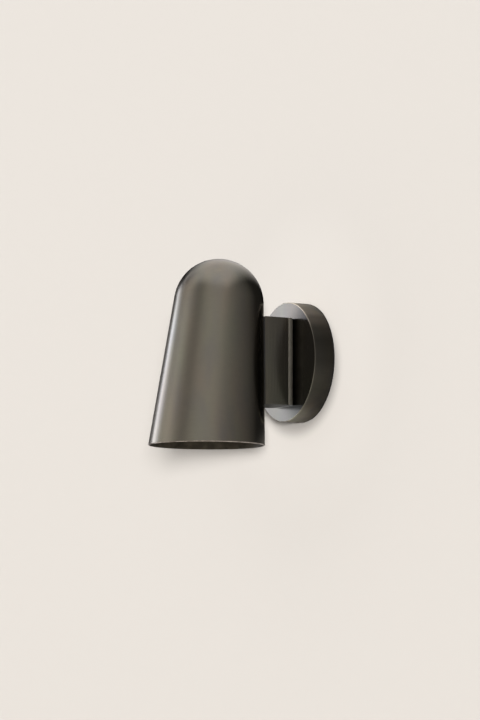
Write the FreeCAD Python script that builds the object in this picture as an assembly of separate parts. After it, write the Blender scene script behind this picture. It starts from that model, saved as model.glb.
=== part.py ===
import FreeCAD, Part
import math
import os

# Outdoor wall lamp: a round wall plate, an upright block neck and a downward
# bell shade that holds one screw-in lamp.
# The wall is the plane Y = 0 and the lamp stands out towards -Y. +Z is up and
# X = 0 is the plane of symmetry. The origin is the middle of the wall plate.
# All lengths are in millimetres and all angles are in degrees.

Vector = FreeCAD.Vector
ORIGIN = Vector(0, 0, 0)
ACROSS = Vector(1, 0, 0)
INWARD = Vector(0, 1, 0)
OUTWARD = Vector(0, -1, 0)
UP = Vector(0, 0, 1)
DOWN = Vector(0, 0, -1)
SIDES = (-1, 1)
HEX_SIDES = 6

# Clearances shared by all pieces
overrun = 6.0
slip_gap = 0.1
thread_gap = 0.05
hole_gap = 0.3

# Wall plate
plate_diameter = 120.0
plate_depth = 22.6
plate_wall = 1.6
plate_bevel = 0.6

# Ring gasket between the wall plate and the wall
wall_gasket_thick = 1.5
wall_gasket_width = 3.5
wall_gasket_inset = 0.5

# Mounting plate screwed to the wall inside the wall plate
mount_thick = 2.0
mount_inset = 6.0
tab_width = 14.0
tab_depth = 14.0
tab_bend = 2.6
wall_screw_spacing = 60.0
wall_slot_width = 4.5
wall_slot_length = 14.0
entry_hole_diameter = 16.0

# Bush for the supply cable in the mounting plate
entry_bush_bore = 8.0
entry_bush_flange = 21.0
entry_bush_flange_thick = 1.5

# Grub screws that hold the wall plate on the mounting plate's tabs
grub_diameter = 4.0
grub_length = 8.0
grub_setback = 0.4
grub_hex = 2.0
grub_hex_depth = 2.5
grub_place = 9.0

# Terminal block on the mounting plate
block_edge_gap = 10.0
block_width = 17.0
block_height = 14.0
block_notch = 1.4
block_notch_depth = 3.0
pole_count = 3
pole_pitch = 10.0
pole_height = 6.0
clamp_spacing = 9.0
clamp_screw_diameter = 2.6
clamp_screw_setback = 1.0
tube_diameter = 4.6
tube_bore = 3.0
block_screw_diameter = 3.0
block_screw_head = 5.4
block_screw_head_thick = 2.0
screw_tip_setback = 0.3
slot_width = 0.6
slot_depth = 0.8

# Earth terminal on the mounting plate
earth_offset = 26.0
earth_drop = 10.0
earth_screw_diameter = 4.0
earth_head = 7.6
earth_head_thick = 2.6
earth_washer = 8.4
earth_washer_thick = 0.6
ring_diameter = 8.0
ring_thick = 0.8
barrel_diameter = 3.8
barrel_length = 6.0
barrel_stem = 2.0

# Neck, a folded channel closed by two end caps
neck_width = 43.0
neck_height = 87.0
neck_lowering = 1.5
neck_sheet = 2.0
neck_bend = 8.0
neck_cap_thick = 2.0

# Tapped blocks at both ends of the neck
rear_block_overlap = 9.0
rear_block_depth = 8.0
front_block_gap = 2.5
front_block_depth = 9.0
neck_gasket_thick = 1.0
neck_gasket_inset = 0.4

# Screws through the neck's two ends
fixing_diameter = 4.0
fixing_inset = 19.5
fixing_head = 7.0
fixing_head_thick = 2.6
fixing_hex = 2.5
fixing_hex_depth = 1.6
fixing_washer = 9.0
fixing_washer_thick = 0.8
rear_fixing_length = 11.0
front_fixing_length = 16.0

# Cable bushes through the neck's two ends
bush_diameter = 10.8
bush_bore = 8.0
bush_flange = 16.0
bush_flange_thick = 1.5
rear_bush_length = 8.0
front_bush_length = 12.0

# Shade, a dome that runs on into a cone
dome_radius = 44.5
shade_wall = 1.8
flare_angle = 5.0
shade_standoff = 53.4
dome_centre_height = 53.9
mouth_drop = 87.1
mouth_bevel = 0.7

# Saddle pad and bracket that carry the lampholder in the shade
pad_width = 24.0
pad_overlap = 8.0
pad_thick = 4.0
bracket_width = 18.0
bracket_thick = 2.0
bracket_bend = 7.0
bracket_level = 17.0
bracket_overhang = 11.0

# Grommet where the wires pass up through the bracket
grommet_bore = 6.4
grommet_hole = 8.8
grommet_flange = 11.4
grommet_flange_thick = 1.0

# Hollow nipple with its lock nut and toothed washer
nipple_diameter = 10.0
nipple_bore = 7.2
nipple_end = 4.2
nut_flats = 14.0
nut_thick = 3.0
tooth_washer_diameter = 15.0
tooth_washer_thick = 0.8
tooth_count = 12
tooth_depth = 1.4

# Lampholder, with levels below the middle of the dome
holder_diameter = 39.0
holder_wall = 1.7
collar_diameter = 16.0
collar_height = 4.0
shoulder_height = 3.0
shoulder_round = 6.0
cap_roof = 5.8
cap_ledge_width = 1.5
cap_end = 4.0
holder_end = 39.0
holder_round = 2.0
sleeve_wall = 1.6
insert_rim = 1.8
insert_rim_height = 2.0
insert_thick = 8.0
post_near = 5.0
post_rim_gap = 2.2
post_width = 6.0
post_height = 6.0
post_wire_bore = 2.2
post_screw_inset = 3.0
post_screw_diameter = 2.5
post_screw_head = 4.4
post_screw_head_thick = 1.4
post_screw_setback = 0.1
rivet_diameter = 3.0
leaf_width = 5.0
leaf_thick = 0.5
leaf_rise = 1.5
leaf_overhang = 4.5
leaf_ramp = 6.0

# Screw thread shared by the lampholder's shell and the lamp's cap
thread_pitch = 3.629
shell_bore = 26.8
shell_sheet = 0.4
shell_flange_bore = 19.0
shell_flange_thick = 0.5
shell_setback = 3.0
shell_ridge_delay = 4.0
shell_ridge_end_gap = 2.0
ridge_height = 1.0
cap_sheet = 0.6
cap_ridge_delay_turns = 1
cap_ridge_fewer_turns = 2.5
cap_skirt_gap = 0.4
cap_skirt_lip = 1.0
cap_skirt_height = 3.0
cap_eyelet_bore = 13.0
ridge_root_width = 1.7
ridge_crest_width = 0.8
ridge_sink = 0.2

# Lamp below its screw cap
contact_gap = 0.2
contact_diameter = 9.0
contact_thick = 1.6
insulator_top_diameter = 11.0
insulator_inset = 1.3
insulator_height = 2.6
body_setback = 1.0
body_neck_length = 7.0
body_neck_step = 0.4
body_wall = 1.6
bulb_diameter = 60.0
lamp_end = 118.5
globe_wall = 1.2
board_thick = 1.5
chip_count = 8
chip_size = 3.0
chip_thick = 0.7
chip_ring_diameter = 32.0
driver_gap = 0.8
driver_height = 24.0
driver_thick = 1.2
capacitor_gap = 1.0
capacitor_length = 14.0

# Wires that run from the terminal block to the lampholder
wire_diameter = 1.8
wire_spread = 1.6
wire_start = 4.5
wire_sideways = 9.0
wire_rise_gap = 12.0
wire_loop_rise = 34.1
wire_post_reach = 11.0
earth_wire_dip = 19.0
earth_wire_level = 10.0
earth_wire_grip = 2.0
run_share = 0.45

# Places worked out from the driving sizes
flare = math.radians(flare_angle)
plate_radius = plate_diameter / 2
neck_middle = -neck_lowering
neck_top = neck_middle + neck_height / 2
neck_bottom = neck_middle - neck_height / 2
dome_centre = Vector(0, -shade_standoff - dome_radius, dome_centre_height)
lamp_direction = Vector(0, -math.sin(flare), -math.cos(flare))
level_direction = Vector(0, math.cos(flare), -math.sin(flare))
bell_reach = (dome_centre_height + mouth_drop) / math.cos(flare) + dome_radius
bracket_face = -shade_standoff - shade_wall - pad_thick - bracket_thick
bracket_top = -bracket_level - bracket_thick / 2
bracket_under = -bracket_level + bracket_thick / 2
mount_diameter = plate_diameter - 2 * (wall_gasket_inset + wall_gasket_width + mount_inset)
block_offset = mount_diameter / 2 - block_edge_gap - block_width / 2
fixing_spacing = neck_height - 2 * fixing_inset
pad_height = fixing_spacing + 2 * pad_overlap
rear_block_height = fixing_spacing + 2 * rear_block_overlap
front_block_height = neck_height - 2 * (neck_cap_thick + front_block_gap)
rear_block_width = neck_width - 2 * neck_bend - 2 * slip_gap
block_length = pole_count * pole_pitch
clamp_hole_diameter = clamp_screw_diameter + 2 * hole_gap
nipple_top = bracket_level + bracket_thick / 2 + tooth_washer_thick + nut_thick + nipple_end
insert_diameter = holder_diameter - 2 * (holder_wall + sleeve_wall + 2 * slip_gap)
cap_ledge = insert_diameter / 2 - cap_ledge_width
post_far = insert_diameter / 2 - insert_rim - post_rim_gap
post_screw_place = post_far - post_screw_inset
contact_level = insert_thick + leaf_thick + leaf_rise + contact_gap
shell_end = holder_end - shell_setback
shell_ridge_start = insert_thick + shell_ridge_delay
shell_ridge_turns = int((shell_end - shell_ridge_start - shell_ridge_end_gap) / thread_pitch)
cap_core = shell_bore - 2 * (ridge_height + hole_gap)
cap_start = contact_level + contact_thick + insulator_height + slip_gap
cap_ridge_start = shell_ridge_start + (cap_ridge_delay_turns + 0.5) * thread_pitch
cap_ridge_turns = shell_ridge_turns - cap_ridge_fewer_turns
body_start = holder_end - body_setback
cap_skirt_end = body_start - cap_skirt_lip
cap_skirt_start = cap_skirt_end - cap_skirt_height
cap_skirt_diameter = shell_bore - 2 * cap_skirt_gap
insulator_diameter = cap_core - 2 * insulator_inset
body_root = cap_core / 2 - cap_sheet - slip_gap
driver_width = 2 * (body_root - body_wall - driver_gap)
capacitor_diameter = driver_width / 2 - capacitor_gap
fixing_heights = [neck_middle + side * fixing_spacing / 2 for side in SIDES]
wire_rise_place = bracket_face - bush_flange_thick - wire_rise_gap
block_front = -mount_thick - block_height
pole_place = -mount_thick - pole_height
pole_heights = [(index - (pole_count - 1) / 2) * pole_pitch for index in range(pole_count)]


def write(name, solids):
    """Write one sub-part as a STEP file, as one solid or a group of solids."""
    shape = solids[0] if len(solids) == 1 else Part.makeCompound(solids)
    shape.exportStep("parts/" + name + ".step")
    print(name, len(shape.Solids), "solids,", round(shape.Volume, 1), "mm3, valid", shape.isValid())


def placed(shape, direction, position):
    """Turn a shape's +Z to a direction and move its origin to a position."""
    result = shape.copy()
    move = FreeCAD.Placement(position, FreeCAD.Rotation(UP, direction))
    result.Placement = move.multiply(shape.Placement)
    return result


def on_lamp_axis(shape):
    """Move a shape modelled about Z, with +Z towards the mouth, to the lamp's axis."""
    result = shape.copy()
    move = FreeCAD.Placement(dome_centre, FreeCAD.Rotation(ACROSS, 180 - flare_angle))
    result.Placement = move.multiply(shape.Placement)
    return result


def axis_point(level, sideways=0):
    """The point on the lamp's axis at a level below the dome's middle."""
    return dome_centre + lamp_direction * level + ACROSS * sideways


def box(low, high):
    """A box between two corners."""
    size = high - low
    return Part.makeBox(size.x, size.y, size.z, low)


def tangent_length(before, corner, after, radius):
    """How far along both runs an arc of this radius starts from their corner."""
    turn = (corner - before).getAngle(after - corner)
    return radius * math.tan(turn / 2)


def corner_arc(before, corner, after, radius):
    """The arc that rounds a corner of a route, with its two tangent points."""
    reach = tangent_length(before, corner, after, radius)
    back = (before - corner).normalize()
    ahead = (after - corner).normalize()
    start = corner + back * reach
    end = corner + ahead * reach
    middle_way = (back + ahead).normalize()
    to_centre = math.hypot(reach, radius)
    middle = corner + middle_way * (to_centre - radius)
    return Part.Arc(start, middle, end).toShape(), start, end


def rounded_path(points, radii):
    """Straight runs through the points, with a tangent arc at each inner corner."""
    edges = []
    current = points[0]
    for index in range(1, len(points) - 1):
        arc, start, end = corner_arc(points[index - 1], points[index], points[index + 1], radii[index - 1])
        edges.append(Part.LineSegment(current, start).toShape())
        edges.append(arc)
        current = end
    edges.append(Part.LineSegment(current, points[-1]).toShape())
    return Part.Wire(edges)


def outline(corners):
    """A closed face in the XZ plane. Each corner is (across, up) or (across, up, radius)."""
    points = [Vector(corner[0], 0, corner[1]) for corner in corners]
    radii = [corner[2] if len(corner) == 3 else 0 for corner in corners]
    count = len(points)
    edges = []
    ends = []
    for index in range(count):
        before, here, after = points[index - 1], points[index], points[(index + 1) % count]
        if radii[index]:
            arc, start, end = corner_arc(before, here, after, radii[index])
            ends.append((start, arc, end))
        else:
            ends.append((here, None, here))
    for index in range(count):
        start, arc, end = ends[index]
        if arc:
            edges.append(arc)
        edges.append(Part.LineSegment(end, ends[(index + 1) % count][0]).toShape())
    return Part.Face(Part.Wire(edges))


def turned(corners):
    """A solid turned about Z from its section's corners (radius, level)."""
    return outline(corners).revolve(ORIGIN, UP, 360)


def ring(diameter, bore, thick):
    """A flat ring that stands on Z = 0."""
    return Part.makeCylinder(diameter / 2, thick).cut(Part.makeCylinder(bore / 2, thick))


def hexagon(flats, height):
    """A six-sided prism that stands on Z = 0."""
    turn = 2 * math.pi / HEX_SIDES
    radius = flats / 2 / math.cos(turn / 2)
    corners = [Vector(radius * math.cos(step * turn), radius * math.sin(step * turn), 0)
               for step in range(HEX_SIDES + 1)]
    return Part.Face(Part.makePolygon(corners)).extrude(UP * height)


def cap_screw(diameter, length, head, head_thick, hex_size, hex_depth):
    """A screw along +Z with the underside of its domed head at Z = 0."""
    body = turned([(0, -head_thick), (head / 2, -head_thick, head_thick / 2), (head / 2, 0),
                   (diameter / 2, 0), (diameter / 2, length), (0, length)])
    socket = hexagon(hex_size, hex_depth)
    socket.translate(DOWN * head_thick)
    return body.cut(socket)


def slotted_screw(diameter, length, head, head_thick):
    """A screw along +Z with a slotted head whose underside is at Z = 0."""
    body = Part.makeCylinder(diameter / 2, length)
    body = body.fuse(Part.makeCylinder(head / 2, head_thick, DOWN * head_thick))
    slot = box(Vector(-head, -slot_width / 2, -head_thick),
               Vector(head, slot_width / 2, slot_depth - head_thick))
    return body.cut(slot).removeSplitter()


def across_holes(shape, diameters_and_heights, start, end):
    """Drill holes along Y between two depths, at X = 0."""
    for diameter, height in diameters_and_heights:
        length = abs(end - start) + 2 * overrun
        tool = Part.makeCylinder(diameter / 2, length, Vector(0, max(start, end) + overrun, height), OUTWARD)
        shape = shape.cut(tool)
    return shape


def neck_holes():
    """The holes that pass through both ends of the neck, as (diameter, height)."""
    screws = [(fixing_diameter + 2 * hole_gap, height) for height in fixing_heights]
    return screws + [(bush_diameter + 2 * slip_gap, neck_middle)]


def tapped_holes():
    """The holes of the neck's tapped blocks, as (diameter, height)."""
    screws = [(fixing_diameter + 2 * thread_gap, height) for height in fixing_heights]
    return screws + [(bush_diameter + 2 * slip_gap, neck_middle)]


def wall_plate():
    """Round cup with a straight rim, open to the wall."""
    rim_edge = wall_gasket_thick
    cup = turned([(0, rim_edge), (plate_radius, rim_edge), (plate_radius, plate_depth),
                  (0, plate_depth)])
    cup = cup.makeChamfer(plate_bevel, [edge for edge in cup.Edges
                                        if edge.Closed and abs(edge.CenterOfMass.z - plate_depth) < slip_gap])
    hollow = Part.makeCylinder(plate_radius - plate_wall, plate_depth - plate_wall)
    cup = placed(cup.cut(hollow), OUTWARD, ORIGIN)
    for side in (UP, DOWN):
        tool = Part.makeCylinder(grub_diameter / 2 + hole_gap, plate_radius + overrun,
                                 Vector(0, -grub_place, 0), side)
        cup = cup.cut(tool)
    return across_holes(cup, neck_holes(), -plate_depth, -plate_depth + plate_wall)


def wall_gasket():
    """Flat ring under the wall plate's rim."""
    outer = plate_diameter - 2 * wall_gasket_inset
    return placed(ring(outer, outer - 2 * wall_gasket_width, wall_gasket_thick), OUTWARD, ORIGIN)


def tab_reach():
    """How far up the mounting plate's tabs stand, just inside the ring gasket."""
    limit = plate_radius - wall_gasket_inset - wall_gasket_width - hole_gap
    return math.sqrt(limit ** 2 - (tab_width / 2) ** 2)


def bent_strip(points, bend, width, thick):
    """A flat strip bent along a route in the YZ plane."""
    route = rounded_path(points, [bend for point in points[1:-1]])
    way = (points[1] - points[0]).normalize()
    side = way.cross(ACROSS) * (thick / 2)
    half = ACROSS * (width / 2)
    start = points[0]
    section = Part.makePolygon([start - half - side, start + half - side, start + half + side,
                                start - half + side, start - half - side])
    return route.makePipeShell([section], True, False)


def mounting_plate():
    """Steel disc with two bent tabs, wall screw slots and the cable hole."""
    disc = placed(Part.makeCylinder(mount_diameter / 2, mount_thick), OUTWARD, ORIGIN)
    middle = -mount_thick / 2
    corner = tab_reach() - mount_thick / 2
    start = mount_diameter / 2 - tab_width
    for side in SIDES:
        strip = bent_strip([Vector(0, middle, side * start), Vector(0, middle, side * corner),
                            Vector(0, -tab_depth, side * corner)], tab_bend, tab_width, mount_thick)
        disc = disc.fuse(strip)
    disc = disc.removeSplitter()
    for side in SIDES:
        half = (wall_slot_length - wall_slot_width) / 2
        centre = side * wall_screw_spacing / 2
        radius = wall_slot_width / 2
        for end in SIDES:
            disc = disc.cut(Part.makeCylinder(radius, mount_thick + 2 * overrun,
                                              Vector(0, overrun, centre + end * half), OUTWARD))
        disc = disc.cut(box(Vector(-radius, -mount_thick - overrun, centre - half),
                            Vector(radius, overrun, centre + half)))
        hole = Part.makeCylinder(grub_diameter / 2 + thread_gap, plate_radius,
                                 Vector(0, -grub_place, 0), UP * side)
        disc = disc.cut(hole)
    holes = [(entry_hole_diameter / 2, 0, 0),
             (earth_screw_diameter / 2 + thread_gap, earth_offset, -earth_drop),
             (block_screw_diameter / 2 + thread_gap, -block_offset, pole_pitch / 2)]
    for radius, across, height in holes:
        place = Vector(across, overrun, height)
        disc = disc.cut(Part.makeCylinder(radius, mount_thick + 2 * overrun, place, OUTWARD))
    return disc


def cable_entry_bush():
    """Flanged rubber bush that guards the supply cable at the mounting plate."""
    barrel = entry_hole_diameter / 2 - slip_gap
    bush = turned([(entry_bush_bore / 2, 0), (barrel, 0), (barrel, mount_thick),
                   (entry_bush_flange / 2, mount_thick),
                   (entry_bush_flange / 2, mount_thick + entry_bush_flange_thick, entry_bush_flange_thick / 2),
                   (entry_bush_bore / 2, mount_thick + entry_bush_flange_thick)])
    return placed(bush, OUTWARD, ORIGIN)


def grub_screws():
    """Two socket grub screws through the wall plate's rim into the tabs."""
    screw = Part.makeCylinder(grub_diameter / 2, grub_length)
    socket = hexagon(grub_hex, grub_hex_depth)
    screw = screw.cut(socket)
    outer_end = plate_radius - grub_setback
    return [placed(screw, DOWN * side, Vector(0, -grub_place, side * outer_end)) for side in SIDES]


def clamp_places():
    """Every place of a clamp screw on the terminal block, as (across, height)."""
    return [(-block_offset + side * clamp_spacing / 2, height) for height in pole_heights for side in SIDES]


def terminal_block():
    """Moulded block with a wire way and two screw holes for each pole."""
    left, right = -block_offset - block_width / 2, -block_offset + block_width / 2
    body = box(Vector(left, block_front, -block_length / 2), Vector(right, -mount_thick, block_length / 2))
    for height in pole_heights:
        body = body.cut(Part.makeCylinder(tube_diameter / 2 + slip_gap, block_width + 2 * overrun,
                                          Vector(left - overrun, pole_place, height), ACROSS))
    for across, height in clamp_places():
        body = body.cut(Part.makeCylinder(clamp_hole_diameter / 2, block_height - pole_height,
                                          Vector(across, block_front, height), INWARD))
    for index in range(pole_count - 1):
        height = (pole_heights[index] + pole_heights[index + 1]) / 2
        for low, high in ((left, left + block_notch_depth), (right - block_notch_depth, right)):
            body = body.cut(box(Vector(low, block_front, height - block_notch / 2),
                                Vector(high, -mount_thick, height + block_notch / 2)))
    place = Vector(-block_offset, block_front, pole_pitch / 2)
    body = body.cut(Part.makeCylinder(block_screw_diameter / 2 + hole_gap, block_height, place, INWARD))
    return body.cut(Part.makeCylinder(block_screw_head / 2 + hole_gap, block_screw_head_thick + slot_depth,
                                      place, INWARD))


def terminal_tubes():
    """One brass tube in each pole of the terminal block."""
    tubes = []
    start = -block_offset - block_width / 2 + slip_gap
    length = block_width - 2 * slip_gap
    for height in pole_heights:
        tube = ring(tube_diameter, tube_bore, length)
        tube = placed(tube, ACROSS, Vector(start, pole_place, height))
        for across, screw_height in clamp_places():
            if screw_height == height:
                tube = tube.cut(Part.makeCylinder(clamp_screw_diameter / 2 + thread_gap, tube_diameter,
                                                  Vector(across, pole_place, height), OUTWARD))
        tubes.append(tube)
    return tubes


def terminal_clamp_screws():
    """The slotted screws that press on the wires in the terminal block."""
    outer_end = block_front + clamp_screw_setback
    inner_end = pole_place - wire_diameter / 2 - slip_gap
    length = inner_end - outer_end
    screw = Part.makeCylinder(clamp_screw_diameter / 2, length)
    screw = screw.cut(box(Vector(-clamp_screw_diameter, -slot_width / 2, 0),
                          Vector(clamp_screw_diameter, slot_width / 2, slot_depth)))
    return [placed(screw, INWARD, Vector(across, outer_end, height)) for across, height in clamp_places()]


def terminal_block_screw():
    """The screw that holds the terminal block on the mounting plate."""
    under_head = block_front + slot_depth + block_screw_head_thick
    length = -screw_tip_setback - under_head
    screw = slotted_screw(block_screw_diameter, length, block_screw_head, block_screw_head_thick)
    return placed(screw, INWARD, Vector(-block_offset, under_head, pole_pitch / 2))


def earth_stack(level):
    """A place on the earth screw's axis, this far in front of the mounting plate."""
    return Vector(earth_offset, -mount_thick - level, -earth_drop)


def earth_washer_ring():
    """Toothed washer under the earth ring terminal."""
    washer = ring(earth_washer, earth_screw_diameter + 2 * hole_gap, earth_washer_thick)
    return placed(washer, OUTWARD, earth_stack(0))


def earth_ring_terminal():
    """Crimp ring terminal whose barrel points at the terminal block."""
    plate = ring(ring_diameter, earth_screw_diameter + 2 * hole_gap, ring_thick)
    plate = placed(plate, OUTWARD, earth_stack(earth_washer_thick))
    centre = earth_stack(earth_washer_thick + barrel_diameter / 2)
    face = -mount_thick - earth_washer_thick
    ring_end = earth_offset - ring_diameter / 2
    stem_end = ring_end - barrel_stem
    stem = box(Vector(stem_end, face - ring_thick, -earth_drop - barrel_diameter / 2),
               Vector(ring_end + ring_thick, face, -earth_drop + barrel_diameter / 2))
    barrel_start = Vector(stem_end, centre.y, centre.z)
    barrel = Part.makeCylinder(barrel_diameter / 2, barrel_length, barrel_start, ACROSS * -1)
    bore = Part.makeCylinder(wire_diameter / 2 + thread_gap, barrel_length + overrun,
                             barrel_start - ACROSS * ring_thick, ACROSS * -1)
    body = plate.fuse([stem, barrel]).cut(bore)
    hole = Part.makeCylinder(earth_screw_diameter / 2 + hole_gap, mount_thick + overrun,
                             earth_stack(0), OUTWARD)
    return body.cut(hole).removeSplitter()


def earth_screw():
    """Screw that holds the earth terminal on the mounting plate."""
    under_head = earth_washer_thick + ring_thick
    length = under_head + mount_thick - screw_tip_setback
    screw = slotted_screw(earth_screw_diameter, length, earth_head, earth_head_thick)
    return placed(screw, INWARD, earth_stack(under_head))


def bell(offset):
    """The solid inside the shade's outer surface, grown by an offset, past its mouth."""
    radius = dome_radius + offset
    pole = Vector(0, 0, -radius)
    half_way = math.radians(90 + flare_angle) / 2
    middle = Vector(radius * math.cos(half_way), 0, -radius * math.sin(half_way))
    tangent = Vector(radius * math.cos(flare), 0, -radius * math.sin(flare))
    end_radius = radius / math.cos(flare) + bell_reach * math.tan(flare)
    edges = [Part.Arc(pole, middle, tangent).toShape(),
             Part.LineSegment(tangent, Vector(end_radius, 0, bell_reach)).toShape(),
             Part.LineSegment(Vector(end_radius, 0, bell_reach), Vector(0, 0, bell_reach)).toShape(),
             Part.LineSegment(Vector(0, 0, bell_reach), pole).toShape()]
    return on_lamp_axis(Part.Face(Part.Wire(edges)).revolve(ORIGIN, UP, 360))


def shade():
    """Thin shell of a dome and cone, cut level at the mouth."""
    shell = bell(0).cut(bell(-shade_wall))
    reach = 2 * bell_reach
    below = box(Vector(-reach, -reach, -mouth_drop - reach), Vector(reach, reach, -mouth_drop))
    shell = shell.cut(below)
    rim = [edge for edge in shell.Edges
           if abs(edge.BoundBox.ZMax + mouth_drop) < slip_gap and edge.BoundBox.ZLength < slip_gap]
    outer_rim = max(rim, key=lambda edge: edge.Length)
    shell = shell.makeChamfer(mouth_bevel, [outer_rim])
    return across_holes(shell, neck_holes(), -shade_standoff, -shade_standoff - shade_wall)


def neck_prism(side_inset, rear_inset, bend, low, high):
    """An upright prism with the neck's outline, from the wall plate into the shade."""
    half = neck_width / 2 - side_inset
    rear = -plate_depth - rear_inset
    front = dome_centre.y
    face = outline([(-half, rear, bend), (half, rear, bend), (half, front), (-half, front)])
    prism = face.extrude(OUTWARD * (high - low))
    prism.rotate(ORIGIN, ACROSS, -90)
    prism.translate(UP * low)
    return prism


def neck_body():
    """Folded channel whose web lies on the wall plate and whose sides meet the shade."""
    outer = neck_prism(0, 0, neck_bend, neck_bottom, neck_top)
    inner = neck_prism(neck_sheet, neck_sheet, neck_bend - neck_sheet,
                       neck_bottom - overrun, neck_top + overrun)
    channel = outer.cut(inner).cut(bell(neck_gasket_thick + 2 * slip_gap))
    return across_holes(channel, neck_holes(), -plate_depth, -plate_depth - neck_sheet)


def neck_cap(low, high):
    """Plate that closes one end of the neck between its sides."""
    inset = neck_sheet + slip_gap
    plate = neck_prism(inset, inset, neck_bend - inset, low, high)
    return plate.cut(bell(neck_gasket_thick + 2 * slip_gap))


def neck_rear_block():
    """Tapped block inside the neck behind the wall plate's face."""
    rear = -plate_depth - neck_sheet
    body = box(Vector(-rear_block_width / 2, rear - rear_block_depth, neck_middle - rear_block_height / 2),
               Vector(rear_block_width / 2, rear, neck_middle + rear_block_height / 2))
    return across_holes(body, tapped_holes(), rear, rear - rear_block_depth)


def neck_front_block():
    """Tapped block inside the neck with its front hollowed to the shade's curve."""
    half = neck_width / 2 - neck_sheet - slip_gap
    rear = -shade_standoff + neck_gasket_thick + front_block_depth
    body = box(Vector(-half, dome_centre.y, neck_middle - front_block_height / 2),
               Vector(half, rear, neck_middle + front_block_height / 2))
    body = body.cut(bell(neck_gasket_thick + 2 * slip_gap))
    return across_holes(body, tapped_holes(), rear, -shade_standoff)


def neck_gasket():
    """Thin saddle gasket between the neck and the shade."""
    sheet = bell(neck_gasket_thick + slip_gap).cut(bell(slip_gap))
    window = neck_prism(neck_gasket_inset, 0, neck_bend, neck_bottom + neck_gasket_inset,
                        neck_top - neck_gasket_inset)
    rear = -shade_standoff + neck_gasket_thick
    return across_holes(sheet.common(window), neck_holes(), -shade_standoff, rear)


def rear_fixings():
    """Screws and washers that hold the neck on the wall plate, from inside the plate."""
    seat = -plate_depth + plate_wall
    washer = ring(fixing_washer, fixing_diameter + 2 * hole_gap, fixing_washer_thick)
    screw = cap_screw(fixing_diameter, rear_fixing_length, fixing_head, fixing_head_thick,
                      fixing_hex, fixing_hex_depth)
    under_head = seat + fixing_washer_thick
    screws = [placed(screw, OUTWARD, Vector(0, under_head, height)) for height in fixing_heights]
    washers = [placed(washer, INWARD, Vector(0, seat, height)) for height in fixing_heights]
    return screws, washers


def front_fixings():
    """Screws and washers that hold the bracket, pad and shade on the neck."""
    washer = ring(fixing_washer, fixing_diameter + 2 * hole_gap, fixing_washer_thick)
    screw = cap_screw(fixing_diameter, front_fixing_length, fixing_head, fixing_head_thick,
                      fixing_hex, fixing_hex_depth)
    under_head = bracket_face - fixing_washer_thick
    screws = [placed(screw, INWARD, Vector(0, under_head, height)) for height in fixing_heights]
    washers = [placed(washer, OUTWARD, Vector(0, bracket_face, height)) for height in fixing_heights]
    return screws, washers


def cable_bush(length):
    """Flanged bush along +Z with the underside of its flange at Z = 0."""
    flange = bush_flange / 2
    barrel = bush_diameter / 2
    bore = bush_bore / 2
    return turned([(bore, -bush_flange_thick), (flange, -bush_flange_thick, bush_flange_thick / 2), (flange, 0),
                   (barrel, 0), (barrel, length), (bore, length)])


def saddle_pad():
    """Pad in the shade, curved behind to the wall and flat in front for the bracket."""
    body = box(Vector(-pad_width / 2, bracket_face + bracket_thick, neck_middle - pad_height / 2),
               Vector(pad_width / 2, -shade_standoff, neck_middle + pad_height / 2))
    body = body.common(bell(-shade_wall - slip_gap))
    return across_holes(body, neck_holes(), -shade_standoff, bracket_face)


def bracket_corner():
    """Where the bracket's upright leg would meet its level leg."""
    upright = bracket_face + bracket_thick / 2
    middle = axis_point(-bracket_level)
    along = (upright - middle.y) / level_direction.y
    return middle + level_direction * along


def grommet_place():
    """Where the wires pass up through the bracket's level leg."""
    middle = axis_point(-bracket_level)
    along = (wire_rise_place - middle.y) / level_direction.y
    return middle + level_direction * along


def lampholder_bracket():
    """Bent strip that stands on the pad and reaches over the lampholder."""
    corner = bracket_corner()
    foot = Vector(0, corner.y, neck_middle - pad_height / 2)
    tip = axis_point(-bracket_level) - level_direction * bracket_overhang
    strip = bent_strip([foot, corner, tip], bracket_bend, bracket_width, bracket_thick)
    strip = across_holes(strip, neck_holes(), bracket_face, bracket_face + bracket_thick)
    for diameter, place in ((nipple_diameter + 2 * slip_gap, axis_point(-bracket_level)),
                            (grommet_hole, grommet_place())):
        tool = Part.makeCylinder(diameter / 2, 2 * overrun, place - lamp_direction * overrun, lamp_direction)
        strip = strip.cut(tool)
    return strip


def bracket_grommet():
    """Rubber grommet round the wires where they pass through the bracket."""
    half = bracket_thick / 2 + slip_gap
    waist = grommet_hole / 2 - slip_gap
    flange = grommet_flange / 2
    end = half + grommet_flange_thick
    body = turned([(grommet_bore / 2, -end), (flange, -end, grommet_flange_thick / 2), (flange, -half),
                   (waist, -half), (waist, half), (flange, half), (flange, end, grommet_flange_thick / 2),
                   (grommet_bore / 2, end)])
    return placed(body, lamp_direction, grommet_place())


def lampholder_nipple():
    """Hollow threaded tube that joins the bracket and the lampholder."""
    length = nipple_top + bracket_under + cap_roof
    tube = ring(nipple_diameter, nipple_bore, length)
    tube.translate(DOWN * nipple_top)
    return on_lamp_axis(tube)


def lock_nut():
    """Thin nut on the nipple above the bracket."""
    nut = hexagon(nut_flats, nut_thick)
    nut = nut.cut(Part.makeCylinder(nipple_diameter / 2 + thread_gap, nut_thick))
    nut.translate(UP * (bracket_top - tooth_washer_thick - nut_thick))
    return on_lamp_axis(nut)


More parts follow.
